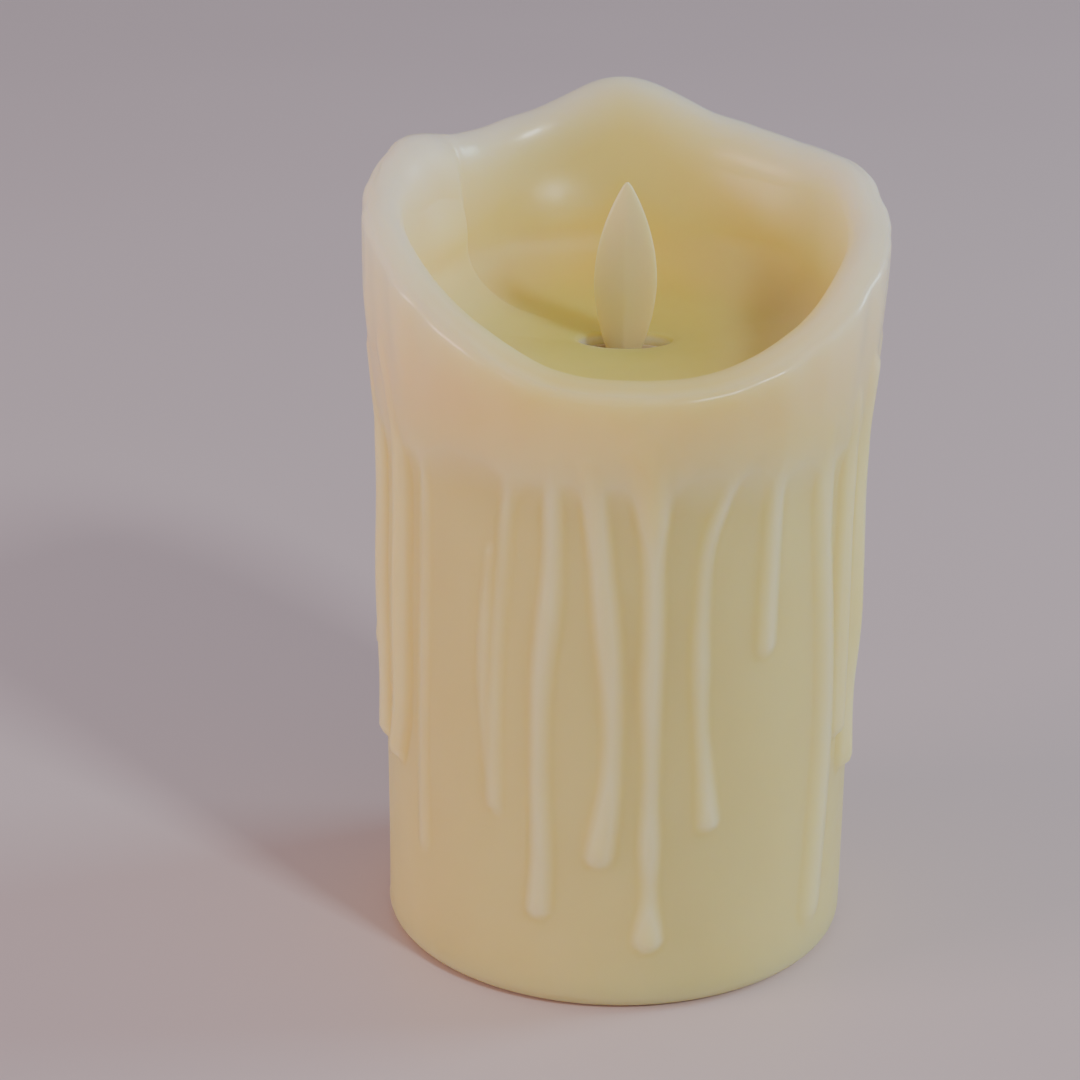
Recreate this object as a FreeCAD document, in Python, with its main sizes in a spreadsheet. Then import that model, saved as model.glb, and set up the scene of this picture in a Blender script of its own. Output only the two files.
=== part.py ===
import FreeCAD, Part
import math
import os
import re
import Sketcher

# A flameless pillar candle: a hollow wax shell with a melted rim and poured drips, a swaying flame in
# an oval slot, and a plastic tower and base inside that hold the magnet drive, the LED, three AAA
# cells, a slide switch and a hinged battery door. Millimetres, +Z up, origin at the centre of the
# face that the base stands on. The front is -Y.

SIZES = {
    # wax shell
    "shell_radius": 37.5,
    "shell_bottom": 0.5,
    "shell_bore": 32.0,
    "shell_seat_radius": 33.2,
    "shell_bottom_round": 3.0,
    "shell_blank_top": 134.0,
    "coat_start": 85.0,
    "coat_low_radius": 39.3,
    "coat_low": 91.0,
    "coat_high_radius": 40.6,
    "coat_high": 110.0,
    "coat_top_radius": 40.0,
    "floor_under": 91.5,
    "pool_floor": 97.7,
    "pool_flat_radius": 8.0,
    "pool_edge_radius": 31.0,
    "pool_edge": 99.4,
    "pool_wall_radius": 33.4,
    "pool_wall": 102.0,
    "pool_top_radius": 34.6,
    "rim_outer_round": 1.8,
    "rim_inner_round": 0.7,
    "drip_centre_radius": 37.3,
    "slot_half_length": 7.15,
    "slot_half_width": 4.65,
    # collar in the slot
    "collar_half_length": 7.05,
    "collar_half_width": 4.55,
    "collar_wall": 0.5,
    "collar_top": 95.6,
    "collar_flange_radius": 12.0,
    "collar_flange": 1.2,
    # flame and its magnet
    "pivot_height": 84.0,
    "pivot_wire_radius": 0.3,
    "pivot_wire_half": 9.5,
    "eye_radius": 1.7,
    "eye_hole_radius": 0.4,
    "eye_half": 1.5,
    "stem_half_width": 1.5,
    "stem_half_depth": 0.8,
    "stem_bottom": 66.0,
    "flame_root": 91.0,
    "magnet_radius": 3.0,
    "magnet_thickness": 2.5,
    "magnet_cup_radius": 3.6,
    "magnet_cup_thickness": 1.2,
    # LED
    "led_radius": 1.5,
    "led_flange_radius": 1.9,
    "led_flange": 1.0,
    "led_straight": 3.5,
    "led_foot_y": 5.0,
    "led_foot_height": 85.0,
    "led_tilt": 15.0,
    "led_shelf_y": 3.2,
    "led_shelf_rise": 1.5,
    "led_shelf_thickness": 1.4,
    "lead_radius": 0.25,
    # tower (two half shells)
    "tower_radius": 15.0,
    "tower_wall": 1.6,
    "deck_radius": 28.5,
    "deck_bottom": 19.4,
    "deck_thickness": 2.0,
    "tower_mouth_radius": 8.6,
    "lug_y": 17.4,
    "lug_low": 32.0,
    "lug_high": 76.0,
    "lug_half": 3.0,
    "lug_right": 4.0,
    "lug_left": 6.0,
    "cable_hole_x": 7.0,
    "cable_hole_y": -8.0,
    "cable_hole_radius": 2.6,
    "rib_thickness": 1.6,
    "rib_overlap": 1.4,
    "post_inner_y": 8.0,
    "post_width": 1.8,
    "post_half_height": 1.6,
    "weld": 0.4,
    "foot_radius": 3.2,
    "foot_height": 6.0,
    "coil_shelf_x": 4.0,
    "coil_shelf_half": 5.0,
    "coil_shelf_thickness": 2.0,
    "coil_keeper_x": 5.6,
    "coil_keeper_half": 4.0,
    "coil_keeper_thickness": 0.8,
    # coil
    "coil_bottom": 52.5,
    "coil_height": 8.0,
    "coil_flange_radius": 7.0,
    "coil_flange": 1.0,
    "coil_hub_radius": 2.5,
    "coil_hole_radius": 1.5,
    "winding_radius": 6.3,
    # circuit board
    "board_half_width": 12.6,
    "board_height": 28.0,
    "board_thickness": 1.2,
    "chip_half_width": 2.0,
    "chip_bottom": 36.5,
    "chip_height": 5.0,
    "chip_thickness": 1.5,
    "chip_leg_pitch": 1.27,
    "chip_leg_length": 1.1,
    "chip_leg_width": 0.4,
    "capacitor_radius": 2.5,
    "capacitor_length": 7.0,
    "capacitor_y": 5.5,
    "capacitor_z": 31.0,
    "transistor_radius": 2.3,
    "transistor_length": 4.6,
    "transistor_y": -5.5,
    "transistor_z": 43.5,
    "transistor_flat": 1.5,
    "transistor_leg": 0.4,
    "resistor_length": 2.0,
    "resistor_width": 1.25,
    "resistor_thickness": 0.5,
    # base
    "ring_outer": 33.0,
    "ring_inner": 30.5,
    "plate_bottom": 0.8,
    "plate_top": 2.4,
    "skirt_outer": 31.6,
    "skirt_inner": 29.8,
    "bay_half_length": 24.2,
    "bay_half_width": 16.25,
    "bay_wall": 1.2,
    "bay_ceiling": 13.6,
    "bay_roof": 1.6,
    "base_boss_x": 13.0,
    "base_boss_y": 21.5,
    "base_boss_radius": 3.8,
    "screw_well_radius": 2.7,
    "screw_well_top": 11.8,
    "bay_rib_half_length": 20.0,
    "bay_rib_width": 1.6,
    "bay_rib_depth": 2.6,
    "tab_slot_height": 8.0,
    "recess_half_length": 5.6,
    "recess_half_width": 2.6,
    "recess_depth": 0.6,
    "mark_pitch_x": 2.0,
    "mark_pitch_y": 0.75,
    "mark_gap": 3.4,
    "mark_radius": 0.25,
    "mark_depth": 0.3,
    # screws
    "screw_head_radius": 2.4,
    "screw_head": 2.0,
    "screw_radius": 1.25,
    "base_screw_length": 14.0,
    "tower_screw_length": 9.0,
    "small_head_radius": 1.6,
    "small_head": 1.1,
    "small_screw_radius": 0.75,
    "small_screw_length": 4.8,
    "screw_tip": 1.2,
    "screw_tip_radius": 0.25,
    "cross_width": 0.5,
    "bore_play": 0.2,
    # AAA cells and their contacts
    "cell_radius": 5.25,
    "cell_length": 44.5,
    "cell_nub_radius": 1.9,
    "cell_nub": 0.9,
    "cell_lip": 1.2,
    "cell_bevel": 0.3,
    "cell_dish": 0.2,
    "cell_foot_inset": 0.9,
    "cell_foot_height": 0.15,
    "cell_pitch": 10.9,
    "cell_height": 8.15,
    "contact_thickness": 0.4,
    "contact_half_width": 3.6,
    "contact_bottom": 4.6,
    "contact_top": 12.0,
    "tab_half_width": 1.0,
    "tab_top": 17.4,
    "spring_radius": 3.1,
    "spring_wire_radius": 0.3,
    "spring_turns": 3.0,
    # battery door
    "door_gap": 0.35,
    "door_bottom": 1.0,
    "door_thickness": 1.6,
    "hinge_x": -22.6,
    "hinge_height": 2.2,
    "hinge_barrel_radius": 1.2,
    "hinge_pin_radius": 0.7,
    "hinge_pin_end": 16.95,
    "hinge_play": 0.06,
    "hinge_bore_depth": 1.3,
    "knuckle_inner": 5.4,
    "latch_half_width": 4.0,
    "latch_height": 1.4,
    "latch_thickness": 0.8,
    "latch_inset": 0.9,
    "latch_cut_length": 6.0,
    "latch_cut_width": 0.7,
    "latch_cut_gap": 0.6,
    "ridge_start": 9.0,
    "ridge_pitch": 1.6,
    "ridge_width": 0.7,
    "ridge_half_length": 5.0,
    "ridge_height": 0.15,
    "overlap": 0.2,
    # slide switch
    "switch_y": -23.5,
    "switch_half_length": 5.8,
    "switch_half_width": 2.7,
    "switch_height": 4.2,
    "switch_skin": 0.6,
    "knob_rest_x": -2.0,
    "knob_half_length": 1.3,
    "knob_half_width": 1.0,
    "knob_height": 3.2,
    "knob_travel": 4.0,
    "slider_half_length": 2.6,
    "slider_half_width": 1.9,
    "slider_thickness": 1.3,
    "slider_play": 0.05,
    "knob_groove_pitch": 0.8,
    "knob_groove_width": 0.3,
    "slot_play": 0.3,
    "switch_room": 2.0,
    "switch_pin_pitch": 2.5,
    "switch_pin_root": 1.0,
    "switch_pin_radius": 0.35,
    "switch_pin_top": 9.4,
    "switch_board_half_length": 9.0,
    "switch_board_half_width": 3.5,
    "switch_board_thickness": 1.2,
    "switch_post_x": 7.5,
    "switch_post_radius": 1.5,
}

# Height of the melted rim at each bearing, in degrees from +X towards +Y.
RIM = [(0, 117.8), (17, 121.8), (45, 123.3), (66, 125.6), (90, 131.0), (113, 125.8), (131, 123.6),
       (154, 125.3), (172, 122.2), (200, 117.0), (230, 108.3), (252, 102.9), (270, 102.0), (292, 102.8),
       (316, 107.7), (340, 114.4)]
RIM_CUT_RADII = (26.0, 50.0)
RIM_CUT_HEIGHT = 45.0

# Wax drips: radius of the bead, then its route as bearing and height, from the coat to the lower end.
DRIPS = {
    "left_high": (1.9, [(200, 96), (206, 84), (205.5, 43), (202.6, 34.6)]),
    "left_faint": (1.5, [(241.6, 93), (239.5, 60), (238.8, 31.5)]),
    "front_left": (1.9, [(252.7, 93), (252.8, 75), (250.4, 56), (250.6, 15.5)]),
    "front_curved": (1.9, [(261.4, 93), (263.8, 76), (267, 52), (264.6, 25.6)]),
    "front_long": (2.1, [(275.5, 93), (276, 70), (276.5, 27), (276.6, 10.7)]),
    "front_thin": (1.5, [(293.4, 93), (288.5, 77), (287.4, 62.5), (290.6, 30)]),
    "front_short": (1.7, [(304, 93), (304, 57)]),
    "right_long": (2.2, [(320, 93), (323, 70), (327.6, 42), (325, 6.5)]),
    "right_low": (1.8, [(332.5, 93), (332, 58), (334, 37.6)]),
    "right_edge": (1.9, [(346, 93), (342, 60), (341, 31)]),
    "back_right": (2.0, [(20, 93), (18, 60), (22, 40)]),
    "back_right_long": (1.8, [(52, 93), (55, 70), (51, 22)]),
    "back_middle": (2.1, [(85, 93), (82, 60), (86, 33)]),
    "back_left_short": (1.7, [(118, 93), (121, 66), (116, 52)]),
    "back_left_long": (2.0, [(150, 93), (147, 55), (151, 14)]),
    "left_edge": (1.9, [(180, 93), (178, 70), (181, 46)]),
}
DRIP_END_SCALE = 1.12

# Sections of the flame's blade: height, half width and half depth.
FLAME_SECTIONS = [(91.0, 1.5, 0.8), (96.6, 2.9, 1.05), (101.9, 4.3, 1.25), (106.4, 4.85, 1.3),
                  (110.5, 4.6, 1.25), (113.8, 3.95, 1.15), (116.8, 3.05, 1.0), (119.4, 2.0, 0.75),
                  (121.4, 1.0, 0.45), (122.5, 0.3, 0.2)]

# Routes of the insulated wires. Each starts and ends square on the piece that it is soldered to.
WIRE_RADIUS = 0.7
BATTERY_RED_ROUTE = [(23.8, -10.9, 16.5), (19.2, -10.9, 16.5), (12.6, -14.4, 17.2), (6.2, -20.0, 16.8),
                     (3.75, -23.5, 13.9), (3.75, -23.5, 9.4)]
SWITCH_RED_ROUTE = [(-1.25, -23.5, 9.4), (-1.25, -23.5, 13.6), (0.9, -18.8, 17.0), (4.8, -10.8, 17.2),
                    (6.1, -8.0, 20.6), (6.0, -6.8, 25.8), (4.6, -6.0, 30.0), (0.6, -6.0, 30.0)]
BATTERY_BLACK_ROUTE = [(-23.8, 10.9, 16.5), (-18.6, 10.9, 16.5), (-9.6, 6.2, 17.3), (-0.6, -1.4, 17.1),
                       (6.4, -6.0, 17.6), (8.0, -8.2, 21.2), (7.4, -9.4, 26.0), (4.8, -9.9, 29.9),
                       (0.6, -9.9, 29.9)]
COIL_LEAD_ROUTE = [(0.85, -6.3, 54.6), (0.9, -8.2, 54.4), (0.85, -8.9, 51.2), (0.85, -8.8, 46.4)]
LED_LEAD_ROUTE = [(1.27, 5.0, 85.0), (0.95, 10.45, 64.6), (0.85, 10.6, 46.0)]
ARC_SHARE = 0.45

ALONG_X = FreeCAD.Rotation(FreeCAD.Vector(0, 1, 0), 90)
AGAINST_X = FreeCAD.Rotation(FreeCAD.Vector(0, 1, 0), -90)
ALONG_Y = FreeCAD.Rotation(FreeCAD.Vector(1, 0, 0), -90)

doc = FreeCAD.newDocument("FlamelessCandle")
sheet = doc.addObject("Spreadsheet::Sheet", "Sizes")
for row, (alias, number) in enumerate(SIZES.items(), start=1):
    sheet.set(f"A{row}", alias)
    sheet.set(f"B{row}", str(number))
    sheet.setAlias(f"B{row}", alias)
doc.recompute()

sub_parts = []


# ---------------------------------------------------------------- helpers

def formula(text):
    """Turns a formula in the sheet's words into an expression of the document."""
    return re.sub(r"[a-z_]+", lambda word: f"Sizes.{word[0]}" if word[0] in SIZES else word[0], str(text))


def value(text):
    return float(sheet.evalExpression(formula(text)))


def bind(feature, **formulas):
    for name, text in formulas.items():
        feature.setExpression(name, formula(text))
    return feature


def place(feature, x=0, y=0, z=0, turn=FreeCAD.Rotation()):
    feature.Placement = FreeCAD.Placement(FreeCAD.Vector(), turn)
    for letter, text in zip("xyz", (x, y, z)):
        feature.setExpression(f"Placement.Base.{letter}", formula(text))
    return feature


def block(name, low, size):
    """A box from its lowest corner."""
    box = doc.addObject("Part::Box", name)
    bind(box, Length=size[0], Width=size[1], Height=size[2])
    return place(box, *low)


def rod(name, radius, length, start, turn=FreeCAD.Rotation()):
    """A cylinder from the middle of its first end."""
    bar = doc.addObject("Part::Cylinder", name)
    bind(bar, Radius=radius, Height=length)
    return place(bar, *start, turn=turn)


def fuse(name, pieces):
    joined = doc.addObject("Part::MultiFuse", name)
    joined.Shapes = pieces
    return joined


def cut(name, base, *tools):
    result = doc.addObject("Part::Cut", name)
    result.Base = base
    result.Tool = tools[0] if len(tools) == 1 else fuse(f"{name}_tools", list(tools))
    return result


def group(name, pieces):
    """Separate solids that share one node."""
    together = doc.addObject("Part::Compound", name)
    together.Links = pieces
    return together


def oval_rod(name, half_length, half_width, bottom, height):
    """An upright bar of oval section about the candle's axis."""
    oval = place(bind(doc.addObject("Part::Ellipse", f"{name}_oval"),
                      MajorRadius=half_length, MinorRadius=half_width), 0, 0, bottom)
    bar = doc.addObject("Part::Extrusion", name)
    bar.Base = oval
    bar.DirMode = "Custom"
    bar.Dir = FreeCAD.Vector(0, 0, 1)
    bar.Solid = True
    return bind(bar, LengthFwd=height)


def add_part(feature, label):
    feature.Label = label
    sub_parts.append(feature)
    return feature


def new_body(name):
    return doc.addObject("PartDesign::Body", name)


def new_sketch(body, name, plane, offset=0):
    """A sketch on one of the body's own origin planes, raised by the offset along its normal."""
    sketch = body.newObject("Sketcher::SketchObject", name)
    support = [datum for datum in body.Origin.OriginFeatures if datum.Role == plane][0]
    sketch.AttachmentSupport = [(support, "")]
    sketch.MapMode = "FlatFace"
    sketch.setExpression("AttachmentOffset.Base.z", formula(offset))
    return sketch


def pin_point(sketch, geometry, point, x, y):
    """Ties a point of the sketch to formulas, or to an axis where the formula is 0."""
    for kind, axis, text in (("DistanceX", -2, x), ("DistanceY", -1, y)):
        if str(text) == "0":
            sketch.addConstraint(Sketcher.Constraint("PointOnObject", geometry, point, axis))
            continue
        index = sketch.addConstraint(Sketcher.Constraint(kind, -1, 1, geometry, point, value(text)))
        sketch.setExpression(f"Constraints[{index}]", formula(text))


def outline(sketch, corners):
    """A closed polygon whose corners are pairs of formulas."""
    first = sketch.GeometryCount
    spots = [FreeCAD.Vector(value(x), value(y), 0) for x, y in corners]
    for start, end in zip(spots, spots[1:] + spots[:1]):
        sketch.addGeometry(Part.LineSegment(start, end))
    for step, (x, y) in enumerate(corners):
        following = first + (step + 1) % len(corners)
        sketch.addConstraint(Sketcher.Constraint("Coincident", first + step, 2, following, 1))
        pin_point(sketch, first + step, 1, x, y)
    return sketch


def rectangle(sketch, x_low, x_high, y_low, y_high):
    return outline(sketch, [(x_low, y_low), (x_high, y_low), (x_high, y_high), (x_low, y_high)])


def circle(sketch, x, y, radius):
    centre = FreeCAD.Vector(value(x), value(y), 0)
    index = sketch.addGeometry(Part.Circle(centre, FreeCAD.Vector(0, 0, 1), value(radius)))
    pin_point(sketch, index, 3, x, y)
    size = sketch.addConstraint(Sketcher.Constraint("Radius", index, value(radius)))
    sketch.setExpression(f"Constraints[{size}]", formula(radius))
    return sketch


def revolve(body, sketch, angle=360, reverse=False):
    turned = body.newObject("PartDesign::Revolution", f"{sketch.Name}_turned")
    turned.Profile = sketch
    turned.ReferenceAxis = (sketch, ["V_Axis"])
    turned.Angle = angle
    turned.Reversed = reverse
    doc.recompute()
    return turned


def pad(body, sketch, length, reverse=False):
    raised = body.newObject("PartDesign::Pad", f"{sketch.Name}_pad")
    raised.Profile = sketch
    raised.Reversed = reverse
    bind(raised, Length=length)
    doc.recompute()
    return raised


def removed(body, kind, sketch, **settings):
    """Adds a cutting feature, and stops if it takes nothing away."""
    before = body.Tip.Shape.Volume
    feature = body.newObject(f"PartDesign::{kind}", f"{sketch.Name}_cut")
    feature.Profile = sketch
    for name, setting in settings.items():
        setattr(feature, name, setting)
    return feature, before


def confirm_cut(feature, before):
    doc.recompute()
    if not feature.Shape.Volume < before - 1e-6:
        raise RuntimeError(f"{feature.Name} takes nothing away")
    return feature


def pocket(body, sketch, length, reverse=False):
    feature, before = removed(body, "Pocket", sketch, Reversed=reverse)
    bind(feature, Length=length)
    return confirm_cut(feature, before)


def groove(body, sketch):
    feature, before = removed(body, "Groove", sketch, ReferenceAxis=(sketch, ["V_Axis"]), Angle=360)
    return confirm_cut(feature, before)


def round_edges(body, radius, chosen):
    """Fillets the edges of the body's last feature that the test picks."""
    base = body.Tip
    names = [f"Edge{number}" for number, edge in enumerate(base.Shape.Edges, start=1) if chosen(edge)]
    fillet = body.newObject("PartDesign::Fillet", f"{body.Name}_round")
    fillet.Base = (base, names)
    bind(fillet, Radius=radius)
    doc.recompute()
    return fillet


def route_path(points):
    """Straight runs joined by tangent arcs, each arc as large as its two runs allow."""
    spots = [FreeCAD.Vector(*point) for point in points]
    edges = []
    radii = []
    start = spots[0]
    for before, corner, after in zip(spots, spots[1:], spots[2:]):
        back = before - corner
        ahead = after - corner
        reach = ARC_SHARE * min(back.Length, ahead.Length)
        back.normalize()
        ahead.normalize()
        half_turn = (math.pi - back.getAngle(ahead)) / 2
        radius = reach / math.tan(half_turn)
        inward = (back + ahead).normalize()
        middle = corner + inward * (radius / math.cos(half_turn) - radius)
        edges.append(Part.LineSegment(start, corner + back * reach).toShape())
        edges.append(Part.Arc(corner + back * reach, middle, corner + ahead * reach).toShape())
        start = corner + ahead * reach
        radii.append(round(radius, 2))
    edges.append(Part.LineSegment(start, spots[-1]).toShape())
    return Part.Wire(edges), radii


def tube(name, points, radius):
    """A wire of round section along a route, its volume compared with section times length."""
    path_shape, radii = route_path(points)
    path = doc.addObject("Part::Feature", f"{name}_path")
    path.Shape = path_shape
    section = doc.addObject("Part::Circle", f"{name}_section")
    section.Radius = radius
    first_run = FreeCAD.Vector(*points[1]) - FreeCAD.Vector(*points[0])
    turn = FreeCAD.Rotation(FreeCAD.Vector(0, 0, 1), first_run)
    section.Placement = FreeCAD.Placement(FreeCAD.Vector(*points[0]), turn)
    sweep = doc.addObject("Part::Sweep", name)
    sweep.Sections = [section]
    sweep.Spine = (path, [f"Edge{number}" for number in range(1, len(path_shape.Edges) + 1)])
    sweep.Solid = True
    doc.recompute()
    ratio = sweep.Shape.Volume / (math.pi * radius ** 2 * path_shape.Length)
    print(f"{name}: length {path_shape.Length:.1f}, radii {radii}, volume ratio {ratio:.3f}")
    return sweep


def screw(name, head_radius, head, radius, length):
    """A pan-head screw along +Z, its head below the origin and its shank above."""
    shank = rod(f"{name}_shank", radius, f"{length} - screw_tip", (0, 0, 0))
    point = doc.addObject("Part::Cone", f"{name}_point")
    bind(point, Radius1=radius, Radius2="screw_tip_radius", Height="screw_tip")
    place(point, 0, 0, f"{length} - screw_tip")
    cap = rod(f"{name}_cap", head_radius, head, (0, 0, f"-{head}"))
    slots = []
    for axis, across, along in (("x", f"{head_radius} * 1.3", "cross_width"),
                                ("y", "cross_width", f"{head_radius} * 1.3")):
        low = (f"-{across} / 2", f"-{along} / 2", f"-{head}")
        slots.append(block(f"{name}_slot_{axis}", low, (across, along, f"{head} / 2")))
    return fuse(name, [cut(f"{name}_head", cap, *slots), shank, point])


# ---------------------------------------------------------------- wax shell

def rim_curve(name, radius):
    """The rim's wave as a closed smooth curve at one radius."""
    points = [FreeCAD.Vector(radius * math.cos(math.radians(bearing)),
                             radius * math.sin(math.radians(bearing)), height) for bearing, height in RIM]
    curve = Part.BSplineCurve()
    curve.interpolate(Points=points, PeriodicFlag=True)
    feature = doc.addObject("Part::Feature", name)
    feature.Shape = curve.toShape()
    return feature


def drip(name, radius, route):
    """A bead of wax down the shell with a rounder lower end, its axis just inside the shell's surface."""
    def spot(bearing, height):
        return (f"drip_centre_radius * cos({bearing})", f"drip_centre_radius * sin({bearing})", height)

    sections = []
    for number, (bearing, height) in enumerate(route):
        section = doc.addObject("Part::Circle", f"{name}_section_{number}")
        section.Radius = radius
        sections.append(place(section, *spot(bearing, height)))
    bead = doc.addObject("Part::Loft", f"{name}_bead")
    bead.Sections = sections
    bead.Solid = True
    end = doc.addObject("Part::Sphere", f"{name}_end")
    end.Radius = radius * DRIP_END_SCALE
    return [bead, place(end, *spot(*route[-1]))]


def make_wax_shell():
    body = new_body("shell_blank")
    profile = new_sketch(body, "shell_profile", "XZ_Plane")
    outline(profile, [
        ("0", "floor_under"),
        ("shell_bore", "floor_under"),
        ("shell_bore", "plate_top"),
        ("shell_seat_radius", "plate_top"),
        ("shell_seat_radius", "shell_bottom"),
        ("shell_radius", "shell_bottom"),
        ("shell_radius", "coat_start"),
        ("coat_low_radius", "coat_low"),
        ("coat_high_radius", "coat_high"),
        ("coat_top_radius", "shell_blank_top"),
        ("0", "shell_blank_top"),
    ])
    revolve(body, profile)
    round_edges(body, "shell_bottom_round",
                lambda edge: edge.BoundBox.ZMax < value("shell_bottom") + 0.01
                and edge.BoundBox.XMax > value("shell_radius") - 0.01)
    pool = new_sketch(body, "pool_profile", "XZ_Plane")
    outline(pool, [
        ("0", "pool_floor"),
        ("pool_flat_radius", "pool_floor"),
        ("pool_edge_radius", "pool_edge"),
        ("pool_wall_radius", "pool_wall"),
        ("pool_top_radius", "shell_blank_top + 1"),
        ("0", "shell_blank_top + 1"),
    ])
    groove(body, pool)
    wave = doc.addObject("Part::RuledSurface", "rim_wave")
    wave.Curve1 = (rim_curve("rim_wave_inner", RIM_CUT_RADII[0]), ["Edge1"])
    wave.Curve2 = (rim_curve("rim_wave_outer", RIM_CUT_RADII[1]), ["Edge1"])
    above = doc.addObject("Part::Extrusion", "above_rim")
    above.Base = wave
    above.DirMode = "Custom"
    above.Dir = FreeCAD.Vector(0, 0, 1)
    above.LengthFwd = RIM_CUT_HEIGHT
    above.Solid = True
    melted = cut("shell_melted", body, above)
    doc.recompute()
    rounds = []
    for number, edge in enumerate(melted.Shape.Edges, start=1):
        reach = edge.BoundBox
        if reach.ZMin > value("pool_wall") - 1 and reach.ZLength > 1 and reach.XLength > 5:
            start = edge.valueAt(edge.FirstParameter)
            outer = math.hypot(start.x, start.y) > value("shell_radius")
            radius = value("rim_outer_round" if outer else "rim_inner_round")
            rounds.append((number, radius, radius))
    rounded = doc.addObject("Part::Fillet", "shell_rounded")
    rounded.Base = melted
    rounded.Edges = rounds
    doc.recompute()
    beads = []
    for name, (radius, route) in DRIPS.items():
        beads += drip(f"drip_{name}", radius, route)
    poured = fuse("shell_poured", [rounded] + beads)
    slot = oval_rod("flame_slot", "slot_half_length", "slot_half_width", "floor_under - 1", "10")
    add_part(cut("shell_slotted", poured, slot), "wax_shell")


# ---------------------------------------------------------------- flame, magnet, pivot, collar, LED

def make_flame_collar():
    bottom = "floor_under - collar_flange"
    sleeve = oval_rod("collar_sleeve", "collar_half_length", "collar_half_width",
                      bottom, f"collar_top - ({bottom})")
    flange = rod("collar_disc", "collar_flange_radius", "collar_flange", (0, 0, bottom))
    mouth = oval_rod("collar_mouth", "collar_half_length - collar_wall", "collar_half_width - collar_wall",
                     f"{bottom} - 1", f"collar_top - ({bottom}) + 2")
    add_part(cut("collar", fuse("collar_solid", [sleeve, flange]), mouth), "flame_collar")


def make_flame_paddle():
    sections = []
    for number, (height, half_width, half_depth) in enumerate(FLAME_SECTIONS):
        section = doc.addObject("Part::Ellipse", f"flame_section_{number}")
        section.MajorRadius = half_width
        section.MinorRadius = half_depth
        sections.append(place(section, 0, 0, height))
    blade = doc.addObject("Part::Loft", "flame_blade")
    blade.Sections = sections
    blade.Solid = True
    stem = block("flame_stem", ("-stem_half_width", "-stem_half_depth", "stem_bottom - overlap"),
                 ("2 * stem_half_width", "2 * stem_half_depth", "flame_root - stem_bottom + 6 * overlap"))
    eye = rod("flame_eye", "eye_radius", "2 * eye_half", (0, "-eye_half", "pivot_height"), ALONG_Y)
    cup = rod("magnet_cup", "magnet_cup_radius", "magnet_cup_thickness",
              (0, 0, "stem_bottom - magnet_cup_thickness"))
    hole = rod("flame_eye_hole", "eye_hole_radius", "4 * eye_half", (0, "-2 * eye_half", "pivot_height"),
               ALONG_Y)
    add_part(cut("paddle", fuse("paddle_solid", [blade, stem, eye, cup]), hole), "flame_paddle")


def make_flame_magnet():
    add_part(rod("magnet", "magnet_radius", "magnet_thickness",
                 (0, 0, "stem_bottom - magnet_cup_thickness - magnet_thickness")), "flame_magnet")


def make_pivot_wire():
    add_part(rod("wire", "pivot_wire_radius", "2 * pivot_wire_half",
                 (0, "-pivot_wire_half", "pivot_height"), ALONG_Y), "pivot_wire")


def make_led():
    body = new_body("led")
    profile = new_sketch(body, "led_profile", "XZ_Plane")
    outline(profile, [
        ("0", "0"),
        ("led_flange_radius", "0"),
        ("led_flange_radius", "led_flange"),
        ("led_radius", "led_flange"),
        ("led_radius", "led_straight + led_radius"),
        ("0", "led_straight + led_radius"),
    ])
    revolve(body, profile)
    round_edges(body, "led_radius - 0.05",
                lambda edge: edge.BoundBox.ZMin > value("led_straight") and edge.BoundBox.XLength > 1)
    tilt = FreeCAD.Rotation(FreeCAD.Vector(1, 0, 0), value("led_tilt"))
    place(body, 0, "led_foot_y", "led_foot_height", tilt)
    add_part(body, "led")
    mirrored = [(-x, y, z) for x, y, z in LED_LEAD_ROUTE]
    leads = [tube("led_lead_right", LED_LEAD_ROUTE, value("lead_radius")),
             tube("led_lead_left", mirrored, value("lead_radius"))]
    add_part(group("led_legs", leads), "led_leads")


# ---------------------------------------------------------------- tower

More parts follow.
